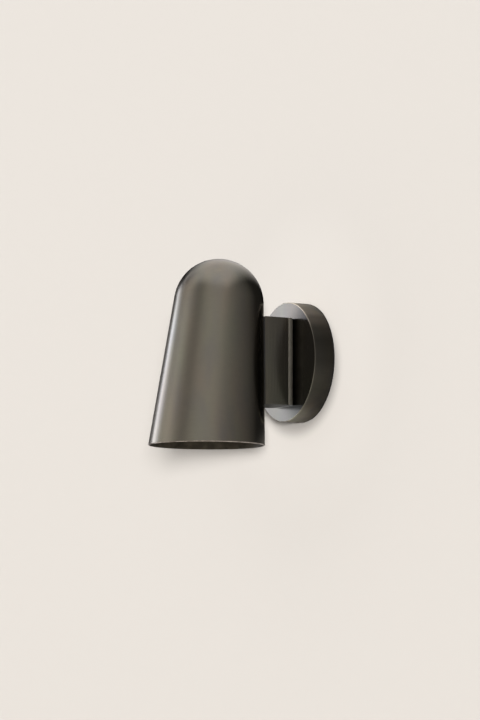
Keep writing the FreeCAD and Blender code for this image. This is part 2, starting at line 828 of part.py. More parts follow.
def tooth_washer():
    """Washer with cut teeth between the lock nut and the bracket."""
    washer = ring(tooth_washer_diameter, nipple_diameter + 2 * slip_gap, tooth_washer_thick)
    pitch_angle = 360 / tooth_count
    radius = tooth_washer_diameter / 2
    notch_width = math.pi * radius / tooth_count
    for index in range(tooth_count):
        notch = box(Vector(radius - tooth_depth, -notch_width / 2, 0),
                    Vector(radius + tooth_depth, notch_width / 2, tooth_washer_thick))
        notch.rotate(ORIGIN, UP, index * pitch_angle)
        washer = washer.cut(notch)
    washer.translate(UP * (bracket_top - tooth_washer_thick))
    return on_lamp_axis(washer)


def lampholder_cap():
    """Upper cover of the lampholder, threaded on the nipple."""
    outer = holder_diameter / 2
    inner = outer - holder_wall
    bore = nipple_diameter / 2 + thread_gap
    collar = bracket_under + collar_height
    roof = bracket_under + cap_roof
    return on_lamp_axis(turned([
        (bore, bracket_under), (collar_diameter / 2, bracket_under), (collar_diameter / 2, collar),
        (outer, collar + shoulder_height, shoulder_round), (outer, cap_end), (inner, cap_end),
        (inner, -insert_rim_height), (cap_ledge, -insert_rim_height), (cap_ledge, roof), (bore, roof)]))


def lampholder_body():
    """Lower sleeve of the lampholder, held by the cap, with a ledge for the insert."""
    outer = holder_diameter / 2
    collar = outer - holder_wall - slip_gap
    pocket = insert_diameter / 2 + slip_gap
    bore = shell_bore / 2 + shell_sheet + hole_gap
    return on_lamp_axis(turned([
        (pocket, -insert_rim_height), (collar, -insert_rim_height), (collar, cap_end + slip_gap),
        (outer, cap_end + slip_gap), (outer, holder_end, holder_round), (bore, holder_end),
        (bore, insert_thick), (pocket, insert_thick)]))


def rivet_places():
    """The places of the two rivets that pass through the insert."""
    return (post_near + rivet_diameter / 2, rivet_diameter / 2 - post_far)


def lampholder_insert():
    """Ceramic disc with a raised rim that carries both contacts."""
    outer = insert_diameter / 2
    body = turned([(0, 0), (outer - insert_rim, 0), (outer - insert_rim, -insert_rim_height),
                   (outer, -insert_rim_height), (outer, insert_thick), (0, insert_thick)])
    for place in rivet_places():
        body = body.cut(Part.makeCylinder(rivet_diameter / 2 + slip_gap, insert_thick, ACROSS * place))
    return on_lamp_axis(body)


def lampholder_terminals():
    """Two brass posts on the insert, each with a rivet through it."""
    posts = []
    wire_level = -post_height / 2
    for side, rivet in zip((1, -1), rivet_places()):
        low, high = sorted((side * post_near, side * post_far))
        post = box(Vector(low, -post_width / 2, -post_height), Vector(high, post_width / 2, 0))
        post = post.fuse(Part.makeCylinder(rivet_diameter / 2, insert_thick, ACROSS * rivet))
        post = post.cut(Part.makeCylinder(post_wire_bore / 2, post_far + overrun,
                                          Vector(0, 0, wire_level), ACROSS * side))
        post = post.cut(Part.makeCylinder(post_screw_diameter / 2 + thread_gap, post_height / 2,
                                          Vector(side * post_screw_place, 0, -post_height)))
        posts.append(on_lamp_axis(post))
    return posts


def terminal_post_screws():
    """The screws that press on the wires in the lampholder's posts."""
    length = post_height / 2 - wire_diameter / 2 - post_screw_setback
    screw = slotted_screw(post_screw_diameter, length, post_screw_head, post_screw_head_thick)
    screws = []
    for side in SIDES:
        copy = screw.copy()
        copy.translate(Vector(side * post_screw_place, 0, -post_height))
        screws.append(on_lamp_axis(copy))
    return screws


def centre_contact_leaf():
    """Spring leaf under the insert that touches the lamp's end contact."""
    low = insert_thick + leaf_thick / 2
    start = Vector(0, post_near + rivet_diameter, low)
    foot = Vector(0, post_near, low)
    crest = Vector(0, foot.y - leaf_ramp, low + leaf_rise)
    end = Vector(0, crest.y - leaf_overhang, low + leaf_rise)
    leaf = bent_strip([start, foot, crest, end], leaf_thick * 2, leaf_width, leaf_thick)
    leaf.rotate(ORIGIN, UP, -90)
    return on_lamp_axis(leaf)


def thread_ridge(start, turns, root_radius, crest_radius):
    """A helical ridge about Z that starts at a level and ends after some turns."""
    helix = Part.makeHelix(thread_pitch, turns * thread_pitch, root_radius)
    section = Part.makePolygon([Vector(root_radius, 0, -ridge_root_width / 2),
                                Vector(crest_radius, 0, -ridge_crest_width / 2),
                                Vector(crest_radius, 0, ridge_crest_width / 2),
                                Vector(root_radius, 0, ridge_root_width / 2),
                                Vector(root_radius, 0, -ridge_root_width / 2)])
    ridge = helix.makePipeShell([section], True, True)
    ridge.translate(UP * start)
    return ridge


def lampholder_shell():
    """Thin metal sleeve with an inner thread, flanged against the insert."""
    inner = shell_bore / 2
    outer = inner + shell_sheet
    sleeve = turned([(shell_flange_bore / 2, insert_thick), (outer, insert_thick), (outer, shell_end),
                     (inner, shell_end), (inner, insert_thick + shell_flange_thick),
                     (shell_flange_bore / 2, insert_thick + shell_flange_thick)])
    ridge = thread_ridge(shell_ridge_start, shell_ridge_turns, inner + ridge_sink, inner - ridge_height)
    return on_lamp_axis(sleeve.fuse(ridge))


def lamp_screw_cap():
    """The lamp's threaded cap, closed round the insulator's seat."""
    outer = cap_core / 2
    inner = outer - cap_sheet
    skirt = cap_skirt_diameter / 2
    sleeve = turned([(cap_eyelet_bore / 2, cap_start), (outer, cap_start), (outer, cap_skirt_start),
                     (skirt, cap_skirt_end), (skirt, body_start), (skirt - cap_sheet, body_start),
                     (skirt - cap_sheet, cap_skirt_end), (inner, cap_skirt_start),
                     (inner, cap_start + cap_sheet), (cap_eyelet_bore / 2, cap_start + cap_sheet)])
    ridge = thread_ridge(cap_ridge_start, cap_ridge_turns, outer - ridge_sink, outer + ridge_height)
    return on_lamp_axis(sleeve.fuse(ridge))


def lamp_end_contact():
    """Round contact at the very end of the lamp's cap."""
    base = contact_level + contact_thick
    return on_lamp_axis(turned([(0, contact_level), (contact_diameter / 2, contact_level, contact_thick / 2),
                                (contact_diameter / 2, base), (0, base)]))


def lamp_insulator():
    """Black insulator between the end contact and the threaded cap."""
    top = contact_level + contact_thick
    base = top + insulator_height
    return on_lamp_axis(turned([(0, top), (insulator_top_diameter / 2, top),
                                (insulator_diameter / 2, base), (0, base)]))


def bulb_tangent():
    """Where the lamp's cone meets its round globe, as (radius, level), and the cone's angle."""
    radius = bulb_diameter / 2
    middle = lamp_end - radius
    height = middle - body_start
    start = cap_skirt_diameter / 2 + body_neck_step
    angle = math.asin(radius / math.hypot(height, start)) - math.atan2(start, height)
    return radius * math.cos(angle), middle - radius * math.sin(angle), angle


def lamp_body():
    """White hollow cone between the screw cap and the globe."""
    edge_radius, edge_level, angle = bulb_tangent()
    neck = cap_skirt_diameter / 2 - cap_sheet - slip_gap
    start = cap_skirt_diameter / 2 + body_neck_step
    wall = body_wall / math.cos(angle)
    inner = body_root - body_wall
    return on_lamp_axis(turned([
        (body_root, body_start - body_neck_length), (body_root, cap_skirt_start - slip_gap),
        (neck, cap_skirt_end), (neck, body_start), (start, body_start), (edge_radius, edge_level),
        (edge_radius - wall, edge_level), (inner, body_start), (inner, body_start - body_neck_length)]))


def lamp_globe():
    """Opal globe of the lamp, open towards its body."""
    radius = bulb_diameter / 2
    middle = lamp_end - radius
    edge_level = bulb_tangent()[1]
    globe = Part.makeSphere(radius, UP * middle).cut(Part.makeSphere(radius - globe_wall, UP * middle))
    above = box(Vector(-bulb_diameter, -bulb_diameter, edge_level - bulb_diameter),
                Vector(bulb_diameter, bulb_diameter, edge_level))
    return on_lamp_axis(globe.cut(above))


def board_radius():
    """The largest light board that drops into the lamp's body."""
    edge_radius, edge_level, angle = bulb_tangent()
    return edge_radius - body_wall / math.cos(angle) - (board_thick + hole_gap) * math.tan(angle) - slip_gap


def lamp_board():
    """Round circuit board at the open end of the lamp's body."""
    edge_level = bulb_tangent()[1]
    return on_lamp_axis(Part.makeCylinder(board_radius(), board_thick, UP * (edge_level - board_thick)))


def lamp_chips():
    """Light emitters in a circle on the board."""
    edge_level = bulb_tangent()[1]
    chips = []
    for index in range(chip_count):
        half = chip_size / 2
        chip = box(Vector(chip_ring_diameter / 2 - half, -half, edge_level),
                   Vector(chip_ring_diameter / 2 + half, half, edge_level + chip_thick))
        chip.rotate(ORIGIN, UP, index * 360 / chip_count)
        chips.append(on_lamp_axis(chip))
    return chips


def lamp_driver():
    """Driver board and its capacitor behind the light board."""
    under_board = bulb_tangent()[1] - board_thick
    board = box(Vector(-driver_width / 2, -driver_thick / 2, under_board - driver_height),
                Vector(driver_width / 2, driver_thick / 2, under_board))
    capacitor = Part.makeCylinder(capacitor_diameter / 2, capacitor_length,
                                  Vector(0, (capacitor_diameter + driver_thick) / 2 - slip_gap,
                                         under_board - capacitor_length - driver_thick))
    return on_lamp_axis(board.fuse(capacitor))


def largest_radii(points):
    """The largest arc at each inner corner of a route that its two runs leave room for."""
    radii = []
    for index in range(1, len(points) - 1):
        before, here, after = points[index - 1], points[index], points[index + 1]
        shorter = min((here - before).Length, (after - here).Length)
        turn = (here - before).getAngle(after - here)
        radii.append(run_share * shorter / math.tan(turn / 2))
    return radii


def wire(name, points, radii):
    """A wire swept along straight runs joined by arcs of the given radii."""
    route = rounded_path(points, radii)
    way = (points[1] - points[0]).normalize()
    section = Part.Wire(Part.makeCircle(wire_diameter / 2, points[0], way))
    body = route.makePipeShell([section], True, False)
    expected = math.pi * wire_diameter ** 2 / 4 * route.Length
    print(name, "length", round(route.Length, 1), "radii", [round(radius, 1) for radius in radii],
          "volume share", round(body.Volume / expected, 4))
    return body


def lamp_wire(name, side, pole):
    """Wire from one pole of the terminal block through the neck to a lampholder post."""
    across = side * wire_spread
    start = Vector(-block_offset + wire_start, pole_place, pole)
    leave = Vector(-block_offset + block_width / 2 + wire_sideways, pole_place, pole)
    turn_in = Vector(across, pole_place, neck_middle)
    turn_up = Vector(across, wire_rise_place, neck_middle)
    loop_low = Vector(across, wire_rise_place, dome_centre_height + wire_loop_rise)
    loop_high = axis_point(-wire_loop_rise - wire_diameter, across)
    post_level = -post_height / 2
    turn_out = axis_point(post_level, across)
    end = axis_point(post_level, side * wire_post_reach)
    points = [start, leave, turn_in, turn_up, loop_low, loop_high, turn_out, end]
    if abs(pole - neck_middle) < pole_pitch / 2:
        points.remove(leave)
    radii = largest_radii(points)
    at_turn_up = points.index(turn_up) - 1
    at_turn_out = points.index(turn_out) - 1
    radii[at_turn_up] = min(radii[at_turn_up], bracket_face - bush_flange_thick - wire_rise_place)
    radii[at_turn_out] = min(radii[at_turn_out], post_near - wire_spread)
    return wire(name, points, radii)


def earth_wire():
    """Wire from the terminal block's lowest pole to the earth ring terminal."""
    height = pole_heights[0]
    start = Vector(-block_offset + wire_start, pole_place, height)
    leave = Vector(-block_offset + block_width / 2 + earth_wire_dip, pole_place, height)
    barrel = earth_stack(earth_washer_thick + barrel_diameter / 2)
    barrel_end = earth_offset - ring_diameter / 2 - barrel_stem - barrel_length
    join = Vector(barrel_end - earth_wire_level, barrel.y, barrel.z)
    end = Vector(barrel_end + earth_wire_grip, barrel.y, barrel.z)
    points = [start, leave, join, end]
    return wire("earth_wire", points, largest_radii(points))


os.makedirs("parts", exist_ok=True)
rear_screws, rear_washers = rear_fixings()
front_screws, front_washers = front_fixings()
rear_bush = placed(cable_bush(rear_bush_length), OUTWARD, Vector(0, -plate_depth + plate_wall, neck_middle))
front_bush = placed(cable_bush(front_bush_length), INWARD, Vector(0, bracket_face, neck_middle))

write("wall_gasket", [wall_gasket()])
write("mounting_plate", [mounting_plate()])
write("cable_entry_bush", [cable_entry_bush()])
write("terminal_block", [terminal_block()])
write("terminal_tubes", terminal_tubes())
write("terminal_clamp_screws", terminal_clamp_screws())
write("terminal_block_screw", [terminal_block_screw()])
write("earth_tooth_washer", [earth_washer_ring()])
write("earth_ring_terminal", [earth_ring_terminal()])
write("earth_screw", [earth_screw()])
write("wall_plate", [wall_plate()])
write("wall_plate_grub_screws", grub_screws())
write("neck_rear_screws", rear_screws)
write("neck_rear_washers", rear_washers)
write("neck_rear_bush", [rear_bush])
write("neck_body", [neck_body()])
write("neck_top_cap", [neck_cap(neck_top - neck_cap_thick, neck_top)])
write("neck_bottom_cap", [neck_cap(neck_bottom, neck_bottom + neck_cap_thick)])
write("neck_rear_block", [neck_rear_block()])
write("neck_front_block", [neck_front_block()])
write("neck_gasket", [neck_gasket()])
write("shade", [shade()])
write("saddle_pad", [saddle_pad()])
write("lampholder_bracket", [lampholder_bracket()])
write("bracket_screws", front_screws)
write("bracket_washers", front_washers)
write("neck_front_bush", [front_bush])
write("bracket_grommet", [bracket_grommet()])
write("lampholder_nipple", [lampholder_nipple()])
write("lampholder_lock_nut", [lock_nut()])
write("lampholder_tooth_washer", [tooth_washer()])
write("lampholder_cap", [lampholder_cap()])
write("lampholder_body", [lampholder_body()])
write("lampholder_insert", [lampholder_insert()])
write("lampholder_terminals", lampholder_terminals())
write("lampholder_terminal_screws", terminal_post_screws())
write("lampholder_centre_contact", [centre_contact_leaf()])
write("lampholder_screw_shell", [lampholder_shell()])
write("lamp_end_contact", [lamp_end_contact()])
write("lamp_insulator", [lamp_insulator()])
write("lamp_screw_cap", [lamp_screw_cap()])
write("lamp_body", [lamp_body()])
write("lamp_light_board", [lamp_board()])
write("lamp_light_chips", lamp_chips())
write("lamp_driver", [lamp_driver()])
write("lamp_globe", [lamp_globe()])
write("live_wire", [lamp_wire("live_wire", 1, pole_heights[2])])
write("neutral_wire", [lamp_wire("neutral_wire", -1, pole_heights[1])])
write("earth_wire", [earth_wire()])
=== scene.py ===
import functools
import math

import bmesh
import bpy
from mathutils import Matrix, Vector


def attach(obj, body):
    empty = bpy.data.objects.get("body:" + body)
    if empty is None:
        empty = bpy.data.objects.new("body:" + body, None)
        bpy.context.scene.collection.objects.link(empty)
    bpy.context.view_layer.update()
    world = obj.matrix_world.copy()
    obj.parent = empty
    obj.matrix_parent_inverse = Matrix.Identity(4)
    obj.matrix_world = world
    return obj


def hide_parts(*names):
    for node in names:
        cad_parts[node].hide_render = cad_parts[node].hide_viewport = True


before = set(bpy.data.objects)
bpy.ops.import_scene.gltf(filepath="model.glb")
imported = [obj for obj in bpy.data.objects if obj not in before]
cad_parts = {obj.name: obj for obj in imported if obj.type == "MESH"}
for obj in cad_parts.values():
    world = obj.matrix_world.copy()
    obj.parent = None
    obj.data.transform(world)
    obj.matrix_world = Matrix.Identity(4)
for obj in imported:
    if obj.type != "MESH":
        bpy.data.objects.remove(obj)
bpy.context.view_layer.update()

# Outdoor wall lamp: a round wall plate, an upright block neck and a downward
# bell shade in patinated brass, with a lampholder and an opal lamp inside.
# Everything is in metres, the wall is the plane Y = 0 and +Z is up.

bl_info = {
    "name": "Outdoor wall lamp",
    "version": (1, 0, 0),
    "blender": (4, 5, 0),
    "location": "3D View > Sidebar > Wall Lamp",
    "description": "Builds the wall lamp's visible pieces, finishes and studio",
    "category": "Object",
}

MM = 0.001
LENGTH = {"unit": "LENGTH", "subtype": "DISTANCE", "precision": 5}
ANGLE = {"unit": "ROTATION", "subtype": "ANGLE"}
COLOUR = {"subtype": "COLOR", "size": 4, "min": 0.0, "max": 1.0}
# Settings that many nodes share: a mix of two colours, and a range with a soft start and end.
COLOUR_MIX = {"data_type": "RGBA", "out": 2}
SMOOTH = {"interpolation_type": "SMOOTHSTEP"}
# Heights of the neck's screws and of the wires' way through it, above the wall plate's centre, in mm.
NECK_SCREW_HEIGHTS = (22.5, -25.5)
WIRE_HOLE_HEIGHT = -1.5


def linear(hex_colour):
    """An sRGB hex colour as linear red, green, blue and alpha."""
    parts = [int(hex_colour[index:index + 2], 16) / 255 for index in (1, 3, 5)]
    return [part / 12.92 if part <= 0.04045 else ((part + 0.055) / 1.055) ** 2.4 for part in parts] + [1.0]


class WallLampSizes(bpy.types.PropertyGroup):
    """Sizes of the pieces that are modelled here."""

    dome_radius: bpy.props.FloatProperty(
        name="Dome Radius", description="Outer radius of the shade's dome",
        default=44.5 * MM, min=0.01, **LENGTH)
    shade_wall: bpy.props.FloatProperty(
        name="Shade Wall", description="Thickness of the shade's sheet",
        default=1.8 * MM, min=0.0005, **LENGTH)
    flare: bpy.props.FloatProperty(
        name="Flare", description="Angle at which the shade widens and leans",
        default=math.radians(5.0), **ANGLE)
    standoff: bpy.props.FloatProperty(
        name="Stand-off", description="Distance from the wall to the back of the shade",
        default=53.4 * MM, **LENGTH)
    centre_height: bpy.props.FloatProperty(
        name="Dome Height", description="Height of the dome's centre above the wall plate's centre",
        default=53.9 * MM, **LENGTH)
    mouth_drop: bpy.props.FloatProperty(
        name="Mouth Drop", description="How far the mouth lies below the wall plate's centre",
        default=87.1 * MM, **LENGTH)
    mouth_bevel: bpy.props.FloatProperty(
        name="Mouth Bevel", description="Width of the bevel round the mouth's outer edge",
        default=0.7 * MM, min=0.0001, **LENGTH)
    segments: bpy.props.IntProperty(
        name="Segments", description="Faces round the shade", default=192, min=24, max=512)
    rows: bpy.props.IntProperty(
        name="Rows", description="Rows of faces from the top of the shade to its mouth",
        default=96, min=16, max=256)


class WallLampColours(bpy.types.PropertyGroup):
    """Colours of the finishes that a user would change."""

    patina: bpy.props.FloatVectorProperty(
        name="Patina", description="Middle tone of the patinated brass", default=linear("#75756B"), **COLOUR)
    patina_brown: bpy.props.FloatVectorProperty(
        name="Brown Patina", description="Browner patches in the patina", default=linear("#7B746B"), **COLOUR)
    patina_grey: bpy.props.FloatVectorProperty(
        name="Grey Patina", description="Greyer patches in the patina", default=linear("#6E6C6A"), **COLOUR)
    background: bpy.props.FloatVectorProperty(
        name="Background", description="Colour of the wall, floor and surroundings",
        default=linear("#EBE5DE"), **COLOUR)


class WallLampStage(bpy.types.PropertyGroup):
    """Camera and light."""

    azimuth: bpy.props.FloatProperty(
        name="Azimuth", description="Direction of the camera round the lamp",
        default=math.radians(59.9), **ANGLE)
    elevation: bpy.props.FloatProperty(
        name="Elevation", description="Angle of the camera above the horizon",
        default=math.radians(-6.26), **ANGLE)
    distance: bpy.props.FloatProperty(
        name="Distance", description="From the camera to the wall plate's centre", default=2.153, **LENGTH)
    aim_across: bpy.props.FloatProperty(
        name="Aim Across", description="How far the picture's middle lies right of the wall plate's centre",
        default=-0.0649, **LENGTH)
    aim_up: bpy.props.FloatProperty(
        name="Aim Up", description="How far the picture's middle lies above the wall plate's centre",
        default=0.0034, **LENGTH)
    lens: bpy.props.FloatProperty(
        name="Lens", description="Focal length", default=106.68, subtype="DISTANCE_CAMERA", unit="CAMERA")
    light_level: bpy.props.FloatProperty(
        name="Light Level", description="Even light from all round", default=0.75, min=0.0)
    key_level: bpy.props.FloatProperty(
        name="Key Level", description="Strength of the lamp beside the camera", default=1.5, min=0.0)
    light_width: bpy.props.FloatProperty(
        name="Light Width", description="How wide the lamps look, which softens shadows",
        default=math.radians(8.0), **ANGLE)
    wall_level: bpy.props.FloatProperty(
        name="Wall Level", description="Strength of the lamp that lights only the wall",
        default=6.96, min=0.0)
    wall_share: bpy.props.FloatProperty(
        name="Wall Share", description="How much of its colour the wall's paint returns",
        default=0.511, min=0.0)


def add_node(tree, kind, *inputs, out=0, **settings):
    """Add a node with its settings, set or link its inputs, and return one of its outputs.

    A kind that doesn't start with Geometry or NodeGroup is a shader node. Inputs come in the node's order, or
    in a dictionary by name or number: in a Map Range 1 and 2 are the range that comes in and 3 and 4 the one
    that goes out, and in a colour Mix 6 and 7 are the colours. Sockets in a list are linked in that order.
    """
    node = tree.nodes.new(kind if kind.startswith(("Geometry", "NodeGroup")) else "ShaderNode" + kind)
    for name, value in settings.items():
        setattr(node, name, value)
    named = inputs[0] if inputs and isinstance(inputs[0], dict) else dict(enumerate(inputs))
    for key, value in named.items():
        sources = value if isinstance(value, list) else [value]
        if isinstance(sources[0], bpy.types.NodeSocket):
            for source in sources:
                tree.links.new(source, node.inputs[key])
        else:
            node.inputs[key].default_value = value
    return node.outputs[out] if node.outputs else node


def new_material(name):
    """An empty node material, and the function that adds nodes to it."""
    material = bpy.data.materials.new(name)
    material.use_nodes = True
    material.node_tree.nodes.clear()
    return material, functools.partial(add_node, material.node_tree)


def new_group(name, kind, inputs, output):
    """An empty node group with one output, the function that adds nodes to it, and its inputs."""
    tree = bpy.data.node_groups.new(name, kind + "NodeTree")
    for sort, titles in inputs.items():
        for title in titles:
            tree.interface.new_socket(title, in_out="INPUT", socket_type="NodeSocket" + sort)
    tree.interface.new_socket(output, in_out="OUTPUT", socket_type="NodeSocket" + output)
    return tree, functools.partial(add_node, tree), tree.nodes.new("NodeGroupInput").outputs


def fill_ramp(ramp, stops):
    """Give a colour ramp these stops, each a place from 0 to 1 and a colour."""
    while len(ramp.elements) < len(stops):
        ramp.elements.new(0.5)
    for element, (place, colour) in zip(ramp.elements, stops):
        element.position = place
        element.color = colour


def new_object(name, mesh):
    """A mesh object in the scene, at the origin."""
    thing = bpy.data.objects.new(name, mesh)
    bpy.context.scene.collection.objects.link(thing)
    return thing


def finished_mesh(thing):
    """Replace an object's mesh by the result of its modifiers, and remove them."""
    bpy.context.view_layer.update()
    graph = bpy.context.evaluated_depsgraph_get()
    mesh = bpy.data.meshes.new_from_object(thing.evaluated_get(graph), preserve_all_data_layers=True,
                                           depsgraph=graph)
    thing.modifiers.clear()
    thing.data = mesh
    return thing


def smooth_faces(mesh, angle):
    """Shade a mesh smooth, with edges sharper than an angle kept sharp."""
    mesh.shade_smooth()
    mesh.set_sharp_from_angle(angle=angle)


def mesh_of(form, name):
    """A mesh with the faces of a bmesh, which is freed."""
    mesh = bpy.data.meshes.new(name)
    form.to_mesh(mesh)
    form.free()
    return mesh


def smooth_copy(node, name, body, materials, angle=math.radians(30)):
    """A merged, smoothly shaded copy of a CAD node that replaces it."""
    form = bmesh.new()
    form.from_mesh(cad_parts[node].data)
    bmesh.ops.remove_doubles(form, verts=form.verts, dist=2e-6)
    mesh = mesh_of(form, name)
    mesh.materials.clear()
    for material in materials:
        mesh.materials.append(material)
    smooth_faces(mesh, angle)
    piece = new_object(name, mesh)
    weights = piece.modifiers.new("Even Normals", "WEIGHTED_NORMAL")
    weights.mode = "FACE_AREA"
    weights.keep_sharp = True
    finished_mesh(piece)
    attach(piece, body)
    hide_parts(node)
    return piece


def bell_tree():
    """Geometry nodes for one surface of the shade: a dome that runs on into a leaning cone."""
    tree, add, given = new_group("Bell Surface", "Geometry", {
        "Float": ("Radius", "Flare", "Mouth Height", "Dome Share"), "Vector": ("Centre",),
        "Int": ("Segments", "Rows"), "Material": ("Finish",)}, "Geometry")
    around = add("Math", given["Segments"], 1.0, operation="ADD")
    down = add("Math", given["Rows"], 1.0, operation="ADD")
    grid = add("GeometryNodeMeshGrid", 1.0, 1.0, down, around)
    # The grid is a unit square: along X it runs from the top to the mouth, along Y once round.
    x, y, _ = add("SeparateXYZ", add("GeometryNodeInputPosition")).node.outputs
    turn = add("MapRange", {0: y, 1: -0.5, 2: 0.5, 4: 2 * math.pi})
    share = add("Math", x, 0.5, operation="ADD")
    steepest = add("Math", math.pi / 2, given["Flare"], operation="SUBTRACT")
    tilt = add("MapRange", {0: share, 2: given["Dome Share"], 4: steepest})
    along = add("MapRange", share, given["Dome Share"])
    cos_turn = add("Math", turn, operation="COSINE")
    sin_turn = add("Math", turn, operation="SINE")
    circle = add("CombineXYZ", cos_turn, sin_turn)
    sin_tilt = add("Math", tilt, operation="SINE")
    cos_tilt = add("Math", tilt, operation="COSINE")
    level = add("Math", cos_tilt, -1.0, operation="MULTIPLY")
    upright = add("CombineXYZ", {2: level})
    dome = add("VectorMath", {0: circle, "Scale": sin_tilt}, operation="SCALE")
    dome = add("VectorMath", dome, upright, operation="ADD")
    dome = add("VectorMath", {0: dome, "Scale": given["Radius"]}, operation="SCALE")
    sin_flare = add("Math", given["Flare"], operation="SINE")
    cos_flare = add("Math", given["Flare"], operation="COSINE")
    slope = add("CombineXYZ", {2: cos_flare})
    spread = add("VectorMath", {0: circle, "Scale": sin_flare}, operation="SCALE")
    slope = add("VectorMath", spread, slope, operation="ADD")
    lean = add("Math", math.pi, given["Flare"], operation="SUBTRACT")
    dome = add("VectorRotate", {"Vector": dome, "Angle": lean}, rotation_type="X_AXIS")
    slope = add("VectorRotate", {"Vector": slope, "Angle": lean}, rotation_type="X_AXIS")
    dome = add("VectorMath", dome, given["Centre"], operation="ADD")
    height = add("SeparateXYZ", dome, out="Z")
    drop = add("Math", given["Mouth Height"], height, operation="SUBTRACT")
    fall = add("SeparateXYZ", slope, out="Z")
    length = add("Math", drop, fall, operation="DIVIDE")
    length = add("Math", length, along, operation="MULTIPLY")
    cone = add("VectorMath", {0: slope, "Scale": length}, operation="SCALE")
    final = add("VectorMath", dome, cone, operation="ADD")
    surface = add("GeometryNodeSetPosition", {"Geometry": grid, "Position": final})
    surface = add("GeometryNodeRealizeInstances", surface)
    surface = add("GeometryNodeSetMaterial", {"Geometry": surface, "Material": given["Finish"]})
    add("NodeGroupOutput", {"Geometry": surface})
    return tree


def run_tree(name, tree, values, mesh=None):
    """A new object made by a geometry node tree with these input values."""
    thing = new_object(name, mesh or bpy.data.meshes.new(name))
    modifier = thing.modifiers.new(tree.name, "NODES")
    modifier.node_group = tree
    for item in tree.interface.items_tree:
        if item.in_out == "INPUT" and item.name in values:
            modifier[item.identifier] = values[item.name]
    return finished_mesh(thing)


# Finishes. Each one starts from the real material that the piece is made of.
# Depth is how bright the patina is against its middle tone. A patch of painted shade has a middle, the
# distances from it where it starts and ends to fade, in mm, and the shares of the depth there. One lies on
# the dome's left shoulder, the other on the right half of the plate's face.
# Painted shade that dims the reflected strip of light where it runs up onto the dome.
SHOULDER_PAINTED_SHADE = ((-19.0, -134.0, 67.0), (6.0, 50.0), (0.56, 1.0))
# Painted shade where the plate's face reflects the dark neck, and a little paler further off.
FACE_PAINTED_SHADE = ((60.0, -22.6, -8.0), (54.0, 80.0), (0.33, 1.15))
# Shares of the depth by height, in mm, as painted light and shade. The plate's face is painted darker
# at the foot. Its rim is painted paler about the two grub screws, at the top and bottom, as painted
# highlights.
FACE_PAINTED_SHADE_BY_HEIGHT = ((-60, 0.72), (-38, 0.75), (30, 1.0), (60, 1.0))
RIM_PAINTED_LIGHT_BY_HEIGHT = ((-60, 0.53), (-44, 0.24), (-24, 0.19), (0, 0.11), (16, 0.09), (28, 0.13), (40, 0.32),
               (48, 0.645), (57, 0.9))


def patinated_brass(colours, name="patinated_brass", brushed=False, depth=1.0, rough=(0.19, 0.24),
                    painted_by_height=None, painted_patch=None):
    """Brass darkened by a liver patina and waxed: satin metal that turns softly from olive to brown and grey.

    The clouds are about 30 mm across and drawn out along the height, as a patina runs. The brushing of the
    folded parts runs up and down, and is drawn 0.5 mm apart, coarser than the real lines, so that it shows.
    The spun parts have faint rings 0.8 mm apart.
    """
    material, add = new_material(name)
    place = add("TexCoord", out="Object")
    drawn_out = add("Mapping", {"Vector": place, "Scale": (1.0, 1.0, 0.3)})
    clouds = add("TexNoise", {"Vector": drawn_out, "Scale": 1 / (30 * MM), "Detail": 1.5, "Roughness": 0.5})
    clouds = add("MapRange", clouds, 0.32, 0.68)
    greys = add("TexNoise", {"Vector": drawn_out, "W": 3.0, "Scale": 1 / (19 * MM), "Detail": 2.5,
                             "Roughness": 0.55}, noise_dimensions="4D")
    greys = add("MapRange", greys, 0.42, 0.78)
    tone = add("Mix", {0: clouds, 6: colours.patina, 7: colours.patina_brown}, **COLOUR_MIX)
    tone = add("Mix", {0: greys, 6: tone, 7: colours.patina_grey}, **COLOUR_MIX)
    spacing, dim, bright, relief = (9, 9, 0.8), 0.97, 1.03, 0.04
    if brushed:
        spacing, dim, bright, relief = (0.5, 0.5, 40), 0.82, 1.2, 0.12
    lines = add("Mapping", {"Vector": place, "Scale": [1 / (size * MM) for size in spacing]})
    lines = add("TexNoise", {"Vector": lines, "Scale": 1.0, "Detail": 2.0})
    shade = add("MapRange", lines, 0.3, 0.7, depth * dim, depth * bright)
    # A patch of painted shade: the depth's share changes with the distance from its middle.
    if painted_patch:
        middle, (near, far), (inner, outer) = painted_patch
        away = add("VectorMath", place, [part * MM for part in middle], operation="DISTANCE", out=1)
        away = add("MapRange", away, near * MM, far * MM, inner, outer, **SMOOTH)
        shade = add("Math", shade, away, operation="MULTIPLY")
    # Painted light and shade by height: a ramp over Z sets the share of the depth.
    if painted_by_height:
        low, high = painted_by_height[0][0] * MM, painted_by_height[-1][0] * MM
        height = add("SeparateXYZ", place, out="Z")
        wear_and_painted_light = add("ValToRGB", add("MapRange", height, low, high))
        wear_and_painted_light.node.color_ramp.interpolation = "EASE"
        fill_ramp(wear_and_painted_light.node.color_ramp,
                  [((at * MM - low) / (high - low), (share, share, share, 1.0)) for at, share in painted_by_height])
        shade = add("Math", shade, wear_and_painted_light, operation="MULTIPLY")
    tone = add("VectorMath", {0: tone, "Scale": shade}, operation="SCALE")
    satin = add("MapRange", {0: clouds, 3: rough[0], 4: rough[1]})
    bump = add("Bump", {"Height": lines, "Strength": relief, "Distance": 0.05 * MM})
    metal = add("BsdfPrincipled", {"Base Color": tone, "Metallic": 1.0, "Roughness": satin, "Normal": bump})
    add("OutputMaterial", metal)
    return material


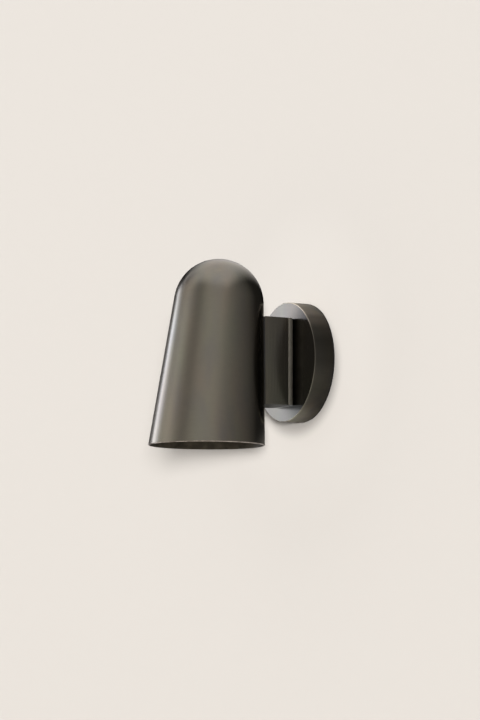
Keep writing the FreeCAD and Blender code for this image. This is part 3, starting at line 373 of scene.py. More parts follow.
def two_tone_brass(name, low, high, rough):
    """The same satin metal in two uneven tones: the mouth's lip worn back paler, a painted highlight on the
    neck's rounded edges, and painted shade inside the shade.
    """
    material, add = new_material(name)
    patches = add("TexNoise", {"Vector": add("TexCoord", out="Object"), "Scale": 1 / (11 * MM), "Detail": 3.0})
    patches = add("MapRange", patches, 0.38, 0.62)
    tone = add("Mix", {0: patches, 6: linear(low), 7: linear(high)}, **COLOUR_MIX)
    satin = add("MapRange", {0: patches, 3: rough + 0.08, 4: rough})
    add("OutputMaterial", add("BsdfPrincipled", {"Base Color": tone, "Metallic": 1.0, "Roughness": satin}))
    return material


# PVC insulation, extruded: smooth and slightly waxy.
INSULATION = dict(grain=3.0, rough=(0.34, 0.44), bump=0.02)
# Each grain is in mm, the same all ways or along X, Y and Z, and each bump in mm.
FINISHES = {
    # Mild steel, zinc plated and passivated: cool silver, satin, with faint blotches about 2 mm across.
    "zinc_plated_steel": dict(tones=("#ACB0B2", "#BBBEC0"), grain=1.4, rough=(0.32, 0.4),
                              bump=0.004, metallic=1.0),
    # Turned brass, left bare: warm yellow with cutter lines 0.3 mm apart and a little tarnish.
    "plain_brass": dict(tones=("#B99A58", "#D9BE7C"), grain=(3.0, 0.3, 3.0), rough=(0.22, 0.36), bump=0.02,
                        metallic=1.0),
    # Copper strip, tinned and stamped: pale grey metal, slightly cloudy.
    "tinned_copper": dict(tones=("#B5B2AB", "#CFCCC6"), grain=1.5, rough=(0.3, 0.42), bump=0.02,
                          metallic=1.0),
    # Black rubber, moulded: matt and very dark, with a fine 0.6 mm pebble, drawn coarser than the real one.
    "black_rubber": dict(tones=("#1A1A1B", "#272728"), grain=0.6, rough=(0.72, 0.88), bump=0.06),
    # Polyamide, natural colour, moulded: milky off-white with a soft sheen and slight flow marks.
    "natural_polyamide": dict(tones=("#DFD9C8", "#EAE5D8"), grain=(5.0, 5.0, 2.0), rough=(0.4, 0.52),
                              bump=0.02, extra={"Subsurface Weight": 0.15, "Subsurface Scale": 0.001,
                                                "Subsurface Radius": (1.0, 0.9, 0.8)}),
    # Phenolic resin, compression moulded: near black, half gloss, with a 0.5 mm orange peel.
    "black_thermoplastic": dict(tones=("#141414", "#202021"), grain=0.5, rough=(0.34, 0.46), bump=0.03),
    # Steatite, pressed, fired and glazed: warm white under a clear shiny glaze, faintly speckled.
    "glazed_steatite": dict(tones=("#E2DBCB", "#EFEADD"), grain=0.8, rough=(0.25, 0.35), bump=0.01,
                            extra={"Coat Weight": 0.7, "Coat Roughness": 0.08}),
    # Nickel plate on rolled brass: warm silver, bright, with fine rolling marks.
    "nickel_plate": dict(tones=("#BEB8AC", "#D6D1C7"), grain=(4.0, 4.0, 0.4), rough=(0.16, 0.28), bump=0.01,
                         metallic=1.0),
    # Black cap glass, cast: deep black and glossy, slightly wavy.
    "black_cap_glass": dict(tones=("#0B0B0C", "#141416"), grain=2.0, rough=(0.08, 0.16), bump=0.03),
    # White lamp plastic, moulded: clean white, soft gloss, fine orange peel.
    "white_lamp_plastic": dict(tones=("#E4E3DF", "#E8E7E3"), grain=1.2, rough=(0.36, 0.46), bump=0.02),
    # Opal polycarbonate, blown: milky and even, light goes in and softens its edges.
    "opal_plastic": dict(tones=("#E6E3DC", "#ECE9E2"), grain=9.0, rough=(0.26, 0.34), bump=0.02,
                         extra={"Subsurface Weight": 0.4, "Subsurface Scale": 0.002,
                                "Subsurface Radius": (1.0, 0.95, 0.9)}),
    # Light board, aluminium with white solder mask: bright white, smooth, slightly uneven.
    "light_board_aluminium": dict(tones=("#DADCDB", "#E9EAE8"), grain=1.6, rough=(0.3, 0.42), bump=0.01),
    # Phosphor in silicone, cast: saturated yellow, soft and a little grainy.
    "yellow_phosphor": dict(tones=("#DDB93A", "#EACB55"), grain=0.3, rough=(0.3, 0.5), bump=0.02),
    # Glass-epoxy board with green solder mask: deep green with a woven 0.8 mm texture under the gloss.
    "green_board": dict(tones=("#1A4F2C", "#27683C"), grain=0.8, rough=(0.26, 0.4), bump=0.02),
    "brown_insulation": dict(tones=("#4A2E1D", "#5B3A27"), **INSULATION),
    "blue_insulation": dict(tones=("#1E4A93", "#2B5CAB"), **INSULATION),
    # Insulation in two colours: green with two yellow stripes along it.
    "green_yellow_insulation": dict(tones=("#2C7A35", "#38893F"), stripe="#D9C931", **INSULATION),
}


def real_finish(slot, tones, grain, rough, bump, metallic=0.0, extra=None, stripe=None):
    """A finish from the table: two tones, roughness and bump that follow one grain."""
    grain = grain if isinstance(grain, tuple) else (grain, grain, grain)
    material, add = new_material(slot + "_finish")
    place = add("TexCoord", out="Object")
    grain = add("Mapping", {"Vector": place, "Scale": [1 / (size * MM) for size in grain]})
    grain = add("TexNoise", {"Vector": grain, "Scale": 1.0, "Detail": 3.0})
    spread = add("MapRange", grain, 0.35, 0.65)
    handled = add("TexNoise", {"Vector": place, "Scale": 1 / (18 * MM)})
    tone = add("Mix", {0: spread, 6: linear(tones[0]), 7: linear(tones[1])}, **COLOUR_MIX)
    if stripe:
        # The stripes lie on opposite sides of the wire, 30 degrees off straight up and down.
        side = add("NewGeometry", out="Normal")
        side = add("VectorMath", side, (0.0, 0.5, 0.866), operation="DOT_PRODUCT", out=1)
        side = add("Math", side, operation="ABSOLUTE")
        side = add("MapRange", side, 0.62, 0.66)
        tone = add("Mix", {0: side, 6: tone, 7: linear(stripe)}, **COLOUR_MIX)
    wear = add("Math", spread, handled, operation="MULTIPLY")
    satin = add("MapRange", {0: wear, 2: 0.7, 3: rough[1], 4: rough[0]})
    relief = add("Bump", {"Height": grain, "Strength": 0.5, "Distance": bump * MM})
    add("OutputMaterial", add("BsdfPrincipled", {"Base Color": tone, "Metallic": metallic,
                                                 "Roughness": satin, "Normal": relief, **(extra or {})}))
    return material


def finish_of(slot):
    """The finish for a material slot, made once."""
    name = slot + "_finish"
    return bpy.data.materials.get(name) or real_finish(slot, **FINISHES[slot])


def slot_of(node):
    """The material slot that the CAD gives a node."""
    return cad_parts[node].material_slots[0].name


def dress(*nodes):
    """Give CAD nodes whose shape is right the finish of their slot."""
    for node in nodes:
        finish = finish_of(slot_of(node))
        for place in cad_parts[node].material_slots:
            place.material = finish


def copy_smooth(*nodes, ending="_form", body="fixture", angle=math.radians(30)):
    """Replace CAD nodes by smooth copies in the finish of their slot."""
    for node in nodes:
        slot = slot_of(node)
        smooth_copy(node, node + ending, body, [finish_of(slot)], angle)


# How bright the studio is in each direction round the lamp. 0 degrees is straight out from the wall, 90 along
# the wall to the right, -90 to the left, and 180 into the wall.
SURROUNDINGS = (
    (-180, 0.03), (-125, 0.14), (-98, 0.16), (-79, 0.2), (-75, 3.7), (-65, 3.5), (-61, 2.0), (-56, 1.7),
    (-50, 1.0), (-40, 1.05), (-30, 1.22), (-19, 1.05), (-8, 0.7), (3, 0.5), (14, 0.48), (30, 0.74),
    (45, 0.84), (60, 0.84), (74, 0.77), (88, 0.58), (103, 0.42), (118, 0.31), (133, 0.205), (152, 0.04),
    (172, 0.03), (180, 0.03))
BRIGHTEST = 5.0
# From this level on a direction shows the cool light, below it the pale cloth.
LIGHT_FROM = 1.3
# A part of a colour that is this large counts as a level of 1.
COLOUR_UNIT = 0.8
LIGHT_COLOUR = (0.80, 0.81, 0.87)
LINE_COLOUR = (1.0, 0.95, 0.92)
STRIP_COLOUR = (0.95, 0.96, 1.05)
OVERHEAD_COLOUR = (1.33, 1.29, 1.26, 1.0)


def surroundings_tree(colour):
    """The studio as the metal reflects it: a soft strip of light, pale cloth, and shade at the wall."""
    tree, add, given = new_group("Studio Surroundings", "Shader", {"Vector": ("Direction",)}, "Color")

    def band(value, middle, far, near, strength=1.0):
        """A soft band: full strength near a value's middle, and nothing far from it."""
        off = add("Math", value, middle, operation="SUBTRACT")
        off = add("Math", off, operation="ABSOLUTE")
        return add("MapRange", {0: off, 1: far, 2: near, 4: strength})

    way = add("VectorMath", given["Direction"], operation="NORMALIZE")
    x, y, z = add("SeparateXYZ", way).node.outputs
    front = add("Math", y, -1.0, operation="MULTIPLY")
    turn = add("Math", x, front, operation="ARCTAN2")
    turn = add("MapRange", turn, -math.pi, math.pi)
    ramp = add("ValToRGB", turn)
    stops = []
    for degrees, level in SURROUNDINGS:
        warmth = colour[:3] if level < LIGHT_FROM else LIGHT_COLOUR
        tone = [level / BRIGHTEST * part / COLOUR_UNIT for part in warmth] + [1.0]
        stops.append(((degrees + 180) / 360, tone))
    fill_ramp(ramp.node.color_ramp, stops)
    # The light overhead starts lower at the sides, and lower still at the wall on the right.
    sideways = add("Math", y, operation="ABSOLUTE")
    above = add("Math", sideways, -0.2, z, operation="MULTIPLY_ADD")
    wallward = add("Math", y, 0.0, operation="MAXIMUM")
    rightward = add("MapRange", {0: x, 1: -0.3, 4: -0.91})
    above = add("Math", wallward, rightward, above, operation="MULTIPLY_ADD")
    above = add("MapRange", above, 0.42, 0.86, **SMOOTH)
    below = add("MapRange", z, -0.52, -0.95, **SMOOTH)
    level = add("VectorMath", {0: ramp, "Scale": BRIGHTEST}, operation="SCALE")
    # The strip of light on the left ends above, and from there it is dark up to the light overhead.
    fade = add("MapRange", {0: z, 1: 0.3, 2: 0.44, 4: 0.86})
    left = add("MapRange", turn, 132 / 360, 124 / 360)
    fade = add("Math", fade, left, operation="MULTIPLY")
    fade = add("Math", 1.0, fade, operation="SUBTRACT")
    level = add("VectorMath", {0: level, "Scale": fade}, operation="SCALE")
    # A thin slanting line of light shows on the dome's left shoulder.
    rise = add("Math", turn, 2.448, z, operation="MULTIPLY_ADD")
    line = band(rise, 1.297, 0.055, 0.015)
    reach = band(turn, 113.5 / 360, 0.05, 0.035)
    line = add("Math", line, reach, operation="MULTIPLY")
    line = add("VectorMath", {0: LINE_COLOUR, "Scale": line}, operation="SCALE")
    level = add("VectorMath", level, line, operation="ADD")
    # The strip's core, 60 degrees to the left, is brighter still low down.
    strip = band(turn, 120 / 360, 9 / 360, 5 / 360, 1.5)
    low = add("MapRange", z, 0.2, 0.13)
    strip = add("Math", strip, low, operation="MULTIPLY")
    strip = add("VectorMath", {0: STRIP_COLOUR, "Scale": strip}, operation="SCALE")
    level = add("VectorMath", level, strip, operation="ADD")
    level = add("Mix", {0: above, 6: level, 7: OVERHEAD_COLOUR}, **COLOUR_MIX)
    level = add("Mix", {0: below, 6: level, 7: colour}, **COLOUR_MIX)
    add("NodeGroupOutput", level)
    return tree


def paint_material(name, colour, share, own_glow, contact=0.0, lift=0.0):
    """Matt paint on the wall or floor: pale and even, with the lamp's soft shadow on it.

    Contact is a painted shadow: how much darker the wall is painted close under the wall plate, as it is
    where a thick plate meets it. This patch has its middle 16 mm to the left and 8.5 mm below the plate's,
    and is drawn out sideways. Lift is painted light: how much paler the wall is painted round the lamp,
    which makes up for the light that the lamp keeps off it.
    """
    material, add = new_material(name)
    place = add("TexCoord", out="Object")
    near = add("Mapping", {0: place, "Location": (12 * MM, 0.0, 8.5 * MM), "Scale": (0.77, 1.0, 1.0)})
    near = add("VectorMath", near, operation="LENGTH", out=1)
    near = add("MapRange", near, 52 * MM, 71 * MM, share * (1 - contact), share, **SMOOTH)
    about = add("VectorMath", place, operation="LENGTH", out=1)
    about = add("MapRange", about, 62 * MM, 180 * MM, 1 + lift, **SMOOTH)
    near = add("Math", near, about, operation="MULTIPLY")
    matt = add("VectorMath", {0: colour[:3], "Scale": near}, operation="SCALE")
    path = add("LightPath").node.outputs
    seen = add("Math", path["Is Camera Ray"], path["Is Glossy Ray"], operation="MAXIMUM")
    seen = add("Math", seen, path["Is Transmission Ray"], operation="MAXIMUM")
    matt = add("BsdfDiffuse", {"Color": matt})
    glow = add("Emission", {"Color": colour, "Strength": own_glow})
    shown = add("AddShader", matt, glow)
    front = add("MixShader", seen, matt, shown)
    behind = add("NewGeometry", out="Backfacing")
    add("OutputMaterial", add("MixShader", behind, front, add("BsdfTransparent")))
    return material


def cloth_material(surroundings, middle):
    """Grey cloth by the wall, seen only in reflections: light further out and darkest beside the lamp."""
    material, add = new_material("grey_cloth")
    way = add("VectorMath", add("TexCoord", out="Object"), middle, operation="SUBTRACT")
    level = add("Group", way, node_tree=surroundings)
    glow = add("Emission", {"Color": level, "Strength": 1.0})
    behind = add("NewGeometry", out="Backfacing")
    add("OutputMaterial", add("MixShader", behind, glow, add("BsdfTransparent")))
    return material


def stage_sheet(name, centre, up, size, material, hole=0.0):
    """A flat sheet of the stage, along X and up, with a round hole in its middle where one is wanted."""
    corners, points = 48, []
    for step in range(corners):
        turn = math.radians(45 + step * 360 / corners)
        way = Vector((math.cos(turn), math.sin(turn)))
        edge = way / max(abs(way.x), abs(way.y)) / 2
        for x, rise in [(edge.x * size[0], edge.y * size[1])] + ([way * hole] if hole else []):
            points.append(Vector(centre) + Vector((x, 0, 0)) + Vector(up) * rise)
    faces = [tuple(range(corners))]
    if hole:
        pairs = [(2 * step, 2 * ((step + 1) % corners)) for step in range(corners)]
        faces = [(this, following, following + 1, this + 1) for this, following in pairs]
    mesh = bpy.data.meshes.new(name)
    mesh.from_pydata(points, [], faces)
    mesh.materials.append(material)
    sheet = new_object(name, mesh)
    return sheet


def place_camera(scene, stage):
    """Set up the camera, and return the directions back towards it, across its picture and up."""
    azimuth, elevation = stage.azimuth, stage.elevation
    back = Vector((math.sin(azimuth) * math.cos(elevation), -math.cos(azimuth) * math.cos(elevation),
                   math.sin(elevation)))
    across = Vector((math.cos(azimuth), math.sin(azimuth), 0))
    up = back.cross(across)
    place = back * stage.distance
    away = (place - across * stage.aim_across - up * stage.aim_up).normalized()
    right = up.cross(away).normalized()
    turn = Matrix((right, away.cross(right), away)).transposed()
    data = bpy.data.cameras.new("Camera")
    data.lens = stage.lens
    data.clip_start, data.clip_end = 0.01, 20.0
    scene.camera = bpy.data.objects.new("Camera", data)
    scene.camera.matrix_world = Matrix.Translation(place) @ turn.to_4x4()
    scene.collection.objects.link(scene.camera)
    return back, across, up


def studio_world(colour, surroundings, light_level):
    """The world: plain where it is seen, the studio in reflections, and even light for the rest."""
    world = bpy.data.worlds.new("Studio")
    world.use_nodes = True
    world.node_tree.nodes.clear()
    add = functools.partial(add_node, world.node_tree)
    path = add("LightPath").node.outputs
    way = add("TexCoord", out="Generated")
    level = add("Group", way, node_tree=surroundings)
    clear = add("Math", path["Is Camera Ray"], path["Is Transmission Ray"], operation="MAXIMUM")
    even = add("Background", {"Color": linear("#FFFFFF"), "Strength": light_level})
    pale = add("Background", {"Color": colour, "Strength": 1.0})
    outward = add("SeparateXYZ", way, out="Y")
    outward = add("MapRange", outward, 0.08, 0.3)
    mirrored = add("Mix", {0: outward, 6: level, 7: colour}, **COLOUR_MIX)
    mirrored = add("Background", {"Color": mirrored, "Strength": 1.0})
    mix = add("MixShader", clear, even, pale)
    mix = add("MixShader", path["Is Glossy Ray"], mix, mirrored)
    add("OutputWorld", mix)
    return world


class WALLLAMP_OT_stage(bpy.types.Operator):
    """Camera, pale wall and floor, cloth and surroundings that the metal reflects, and two soft lamps"""

    bl_idname = "walllamp.stage"
    bl_label = "Stage"

    def execute(self, context):
        scene = context.scene
        stage = scene.wall_lamp_stage
        colour = scene.wall_lamp_colours.background
        scene.view_settings.view_transform = "Standard"
        back, across, up = place_camera(scene, stage)

        # The hole behind the wall plate keeps the wall and the cloth out of the pieces inside the plate.
        upright, wall_size, hole = (0, 0, 1), (4.0, 2.2), 57 * MM
        # The wall has a painted contact shadow under the plate and painted light round the lamp.
        wall_paint = paint_material("matt_wall_paint", colour, stage.wall_share, own_glow=0.0, contact=0.48,
                                    lift=0.1)
        wall = stage_sheet("stage_wall", (0, 0.3 * MM, 0), upright, wall_size, wall_paint, hole)
        floor_paint = paint_material("matt_floor_paint", colour, share=0.95, own_glow=0.15)
        stage_sheet("stage_floor", (0, -1.5, -1.1), (0, 1, 0), (4.0, 3.0), floor_paint)
        surroundings = surroundings_tree(colour)
        shade_middle = (0.0, -98 * MM, 0.0)
        cloth = stage_sheet("stage_cloth", (0, -0.2 * MM, 0), upright, wall_size,
                            cloth_material(surroundings, shade_middle), hole)
        for name in ("visible_camera", "visible_diffuse", "visible_transmission", "visible_shadow"):
            setattr(cloth, name, False)
        scene.world = studio_world(colour, surroundings, stage.light_level)

        # The lamps stand a little above the camera and to its right, which puts the shadow low on the left.
        toward = back + up * math.tan(math.radians(4.8)) + across * math.tan(math.radians(2.2))
        for name, level in (("Key", stage.key_level), ("Wall Lamp Light", stage.wall_level)):
            light = bpy.data.lights.new(name, "SUN")
            light.energy = level
            light.angle = stage.light_width
            lamp = bpy.data.objects.new(name, light)
            lamp.rotation_mode = "QUATERNION"
            lamp.rotation_quaternion = toward.to_track_quat("Z", "Y")
            lamp.visible_glossy = False
            scene.collection.objects.link(lamp)
        lit = bpy.data.collections.new("Lit Wall")
        lit.objects.link(wall)
        lamp.light_linking.receiver_collection = lit
        return {"FINISHED"}


def shell_mesh(outer, ring, inner, faces, materials):
    """A closed shell from an outer and an inner sheet of points, with a ring between their mouths."""
    around = len(ring)
    inside = len(outer) + around
    mouths = (len(outer) - around, len(outer), inside + len(inner) - around)
    skin = [(0, face) for face in faces]
    for low, high in zip(mouths, mouths[1:]):
        for step in range(around - 1):
            skin.append((1, (low + step, low + step + 1, high + step + 1, high + step)))
    skin += [(2, tuple(inside + corner for corner in face)) for face in faces]
    mesh = bpy.data.meshes.new("shade_shell")
    mesh.from_pydata(outer + ring + inner, [], [face for part, face in skin])
    mesh.polygons.foreach_set("material_index", [part for part, face in skin])
    form = bmesh.new()
    form.from_mesh(mesh)
    bmesh.ops.remove_doubles(form, verts=form.verts, dist=1e-6)
    bmesh.ops.recalc_face_normals(form, faces=form.faces)
    if any(edge.is_boundary for edge in form.edges):
        raise RuntimeError("The shade isn't closed")
    form.to_mesh(mesh)
    form.free()
    for material in materials:
        mesh.materials.append(material)
    smooth_faces(mesh, math.radians(30))
    return mesh


class WALLLAMP_OT_shade(bpy.types.Operator):
    """The shade: a thin dome and cone with a bevelled mouth"""

    bl_idname = "walllamp.shade"
    bl_label = "Shade"

    def execute(self, context):
        sizes = context.scene.wall_lamp_sizes
        # The outside has a patch of painted shade on the dome's left shoulder.
        outside = patinated_brass(context.scene.wall_lamp_colours, painted_patch=SHOULDER_PAINTED_SHADE)
        wear_and_painted_light = two_tone_brass("rubbed_brass_lip", "#877F78", "#B5ADA6", 0.24)
        # The inside is painted darker than the outside: painted shade in the bell's hollow.
        inside = two_tone_brass("painted_shade_brass_inside", "#4A463E", "#5E594F", 0.36)
        tree = bell_tree()
        sheets = []
        for inset, height in ((0.0, sizes.mouth_bevel), (sizes.mouth_bevel, 0.0), (sizes.shade_wall, 0.0)):
            sheet = run_tree("bell", tree, {
                "Flare": sizes.flare, "Segments": sizes.segments, "Rows": sizes.rows, "Dome Share": 0.5,
                "Centre": (0.0, -sizes.standoff - sizes.dome_radius, sizes.centre_height), "Finish": outside,
                "Radius": sizes.dome_radius - inset, "Mouth Height": height - sizes.mouth_drop})
            sheets.append([vertex.co[:] for vertex in sheet.data.vertices])
            faces = [tuple(face.vertices) for face in sheet.data.polygons]
            bpy.data.objects.remove(sheet)
        outer, bevel, inner = sheets
        mesh = shell_mesh(outer, bevel[-sizes.segments - 1:], inner, faces, (outside, wear_and_painted_light, inside))
        drills = bmesh.new()
        screw_hole, wire_hole = 2.3 * MM, 5.6 * MM
        along_y = Matrix.Rotation(math.pi / 2, 4, "X")
        for height in (*NECK_SCREW_HEIGHTS, WIRE_HOLE_HEIGHT):
            radius = wire_hole if height == WIRE_HOLE_HEIGHT else screw_hole
            place = Matrix.Translation((0, -sizes.standoff, height * MM)) @ along_y
            bmesh.ops.create_cone(drills, cap_ends=True, segments=32, radius1=radius, radius2=radius,
                                  depth=14 * MM, matrix=place)
        drill = new_object("drills", mesh_of(drills, "drills"))
        piece = new_object("shade_shell", mesh)
        holes = piece.modifiers.new("Neck Holes", "BOOLEAN")
        holes.object = drill
        holes.operation = "DIFFERENCE"
        holes.solver = "EXACT"
        finished_mesh(piece)
        bpy.data.objects.remove(drill)
        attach(piece, "fixture")
        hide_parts("shade")
        return {"FINISHED"}


class WALLLAMP_OT_wall_plate(bpy.types.Operator):
    """The wall plate: a shallow round cup, its face painted darker than its rim, which has painted highlights
    """

    bl_idname = "walllamp.wall_plate"
    bl_label = "Wall Plate"

    def execute(self, context):
        colours = context.scene.wall_lamp_colours
        # Face and rim are one patina: the rim's high depth paints highlights, the face's low depth paints
        # shade.
        rim = patinated_brass(colours, "patinated_brass_rim_painted_light", depth=5.1, rough=(0.42, 0.5),
                              painted_by_height=RIM_PAINTED_LIGHT_BY_HEIGHT)
        face_brass = patinated_brass(colours, "patinated_brass_face_painted_shade", depth=0.52, painted_by_height=FACE_PAINTED_SHADE_BY_HEIGHT,
                                     painted_patch=FACE_PAINTED_SHADE)
        piece = smooth_copy("wall_plate", "wall_plate_cup", "fixture", [rim, face_brass])
        # The face looks away from the wall, all else is rim.
        for face in piece.data.polygons:
            if face.normal.y < -0.9:
                face.material_index = 1
        return {"FINISHED"}


class WALLLAMP_OT_neck(bpy.types.Operator):
    """The neck: a folded channel with its two end caps, a painted highlight on its rounded edges and painted
    shade on its caps
    """

    bl_idname = "walllamp.neck"
    bl_label = "Neck"

    def execute(self, context):
        colours = context.scene.wall_lamp_colours
        brass = patinated_brass(colours, "patinated_brass_folded", brushed=True, depth=1.2)
        # The caps are painted darker: painted shade over and under the neck.
        dark = patinated_brass(colours, "painted_shade_brass_caps", depth=0.3, rough=(0.42, 0.5))
        # The rounded rear edges are painted paler: a painted highlight.
        edge = two_tone_brass("painted_highlight_brass_edge", "#B3B0A6", "#C6C3B9", 0.66)
        piece = smooth_copy("neck_body", "neck_body_sheet", "fixture", [brass, edge])
        # The rounded rear edges look between sideways and the wall.
        for face in piece.data.polygons:
            if 0.1 < abs(face.normal.x) < 0.9995 and face.normal.y > 0.02:
                face.material_index = 1
        for node in ("neck_top_cap", "neck_bottom_cap"):
            smooth_copy(node, node + "_sheet", "fixture", [dark])
        return {"FINISHED"}


def screw_tree():
    """Geometry nodes for machine screws: a domed or flat head with its drive, and a real helical thread."""
    tree, add, given = new_group("Machine Screws", "Geometry", {
        "Geometry": ("Places",),
        "Float": ("Head Radius", "Head Height", "Dome", "Thread Radius", "Length", "Pitch", "Drive Radius",
                  "Drive Depth", "Drive Share"),
        "Int": ("Drive Sides", "Segments"), "Vector": ("Turn",), "Material": ("Finish",)}, "Geometry")
    radius = given["Head Radius"]
    head = add("GeometryNodeMeshCone", {"Vertices": given["Segments"], "Side Segments": 8,
                                        "Radius Top": radius, "Radius Bottom": radius,
                                        "Depth": given["Head Height"]})
    place = add("GeometryNodeInputPosition")
    level = add("SeparateXYZ", place, out="Z")
    level = add("Math", level, given["Head Height"], operation="DIVIDE")
    level = add("Math", level, 2.0, operation="POWER")
    level = add("Math", level, given["Dome"], operation="MULTIPLY")
    level = add("Math", 1.0, level, operation="SUBTRACT")
    level = add("Math", level, operation="SQRT")
    rounded = add("CombineXYZ", level, level, 1.0)
    rounded = add("VectorMath", place, rounded, operation="MULTIPLY")
    head = add("GeometryNodeSetPosition", {"Geometry": head, "Position": rounded})
    depth = add("Math", given["Drive Depth"], 2.0, operation="MULTIPLY")
    drive = add("GeometryNodeMeshCylinder", {"Vertices": given["Drive Sides"],
                                             "Radius": given["Drive Radius"], "Depth": depth})
    drive_place = add("CombineXYZ", {2: given["Head Height"]})
    narrow = add("CombineXYZ", 1.0, given["Drive Share"], 1.0)
    drive = add("GeometryNodeTransform", {"Geometry": drive, "Rotation": (0.0, 0.0, math.pi / 4)})
    drive = add("GeometryNodeTransform", {"Geometry": drive, "Translation": drive_place, "Scale": narrow})
    head = add("GeometryNodeMeshBoolean", {"Mesh 1": head, "Mesh 2": drive}, operation="DIFFERENCE",
               solver="EXACT")
    ridge = add("Math", given["Pitch"], 0.45, operation="MULTIPLY")
    middle = add("Math", given["Thread Radius"], ridge, operation="SUBTRACT")
    long = add("Math", given["Length"], 0.2 * MM, operation="ADD")
    down = add("Math", given["Length"], -1.0, operation="MULTIPLY")
    down = add("CombineXYZ", {2: down})
    core = add("GeometryNodeMeshCone", {"Vertices": given["Segments"], "Radius Top": middle,
                                        "Radius Bottom": middle, "Depth": long})
    turns = add("Math", given["Length"], given["Pitch"], operation="DIVIDE")
    turns = add("Math", turns, 1.0, operation="SUBTRACT")
    height = add("Math", turns, given["Pitch"], operation="MULTIPLY")
    spiral = add("GeometryNodeCurveSpiral", {"Resolution": 20, "Rotations": turns, "Start Radius": middle,
                                             "End Radius": middle, "Height": height})
    lift = add("Math", given["Pitch"], 0.5, operation="MULTIPLY")
    lift = add("CombineXYZ", {2: lift})
    profile = add("GeometryNodeCurvePrimitiveCircle", {"Resolution": 4, "Radius": ridge})
    thread = add("GeometryNodeCurveToMesh", {0: spiral, 1: profile, "Fill Caps": True})
    thread = add("GeometryNodeTransform", {"Geometry": thread, "Translation": lift})
    shank = add("GeometryNodeJoinGeometry", [core, thread])
    shank = add("GeometryNodeTransform", {"Geometry": shank, "Translation": down})
    screw = add("GeometryNodeJoinGeometry", [head, shank])
    screws = add("GeometryNodeInstanceOnPoints", {"Points": given["Places"], "Instance": screw,
                                                  "Rotation": given["Turn"]})
    screws = add("GeometryNodeRealizeInstances", screws)
    screws = add("GeometryNodeSetMaterial", {"Geometry": screws, "Material": given["Finish"]})
    add("NodeGroupOutput", {"Geometry": screws})
    return tree


class WALLLAMP_OT_screws(bpy.types.Operator):
    """The neck's cap screws, the clamp screws and the grub screws"""

    bl_idname = "walllamp.screws"
    bl_label = "Screws"

    def execute(self, context):
        tree = screw_tree()
        upward, downward = (0.0, 0.0, 0.0), (math.pi, 0.0, 0.0)
        wallward, roomward = (-math.pi / 2, 0.0, 0.0), (math.pi / 2, 0.0, 0.0)
        neck_screw = {"Head Radius": 3.5 * MM, "Head Height": 2.6 * MM, "Dome": 0.62,
                      "Thread Radius": 2.0 * MM, "Pitch": 0.7 * MM, "Drive Radius": 1.44 * MM,
                      "Drive Depth": 1.5 * MM, "Drive Sides": 6, "Drive Share": 1.0, "Segments": 32}
        clamp_screw = {**neck_screw, "Head Radius": 1.25 * MM, "Head Height": 0.9 * MM, "Dome": 0.1,
                       "Thread Radius": 1.3 * MM, "Pitch": 0.5 * MM, "Drive Radius": 2.0 * MM,
                       "Drive Depth": 0.6 * MM, "Drive Sides": 4, "Drive Share": 0.15, "Segments": 20}
        grub_screw = {**neck_screw, "Head Radius": 1.9 * MM, "Head Height": 0.5 * MM, "Dome": 0.12,
                      "Drive Radius": 1.15 * MM}
        # Each set's node, sizes and length in mm, with the foot of every head and the way that it looks.
        sets = (
            ("neck_rear_screws", neck_screw, 11.0, [((0, -20.2, up), wallward) for up in NECK_SCREW_HEIGHTS]),
            ("bracket_screws", neck_screw, 16.0, [((0, -62.0, up), roomward) for up in NECK_SCREW_HEIGHTS]),
            ("terminal_clamp_screws", clamp_screw, 5.1,
             [((across, -14.1, up), roomward) for across in (-36, -27) for up in (-10, 0, 10)]),
            ("wall_plate_grub_screws", grub_screw, 7.5,
             [((0, -9, 59.1), upward), ((0, -9, -59.1), downward)]),
        )
        for node, sizes, length, places in sets:
            slot = slot_of(node)
            form = bmesh.new()
            for turn in sorted({turn for place, turn in places}):
                spots = bpy.data.meshes.new(node)
                spots.from_pydata([[part * MM for part in place] for place, way in places if way == turn],
                                  [], [])
                made = run_tree(node, tree, {**sizes, "Length": length * MM, "Turn": turn,
                                             "Finish": finish_of(slot)}, spots)
                form.from_mesh(made.data)
                bpy.data.objects.remove(made)
            mesh = mesh_of(form, node + "_set")
            mesh.materials.append(finish_of(slot))
            if not mesh.polygons:
                raise RuntimeError("No screws for " + node)
            smooth_faces(mesh, math.radians(32))
            piece = new_object(node + "_set", mesh)
            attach(piece, "fixture")
            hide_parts(node)
        return {"FINISHED"}


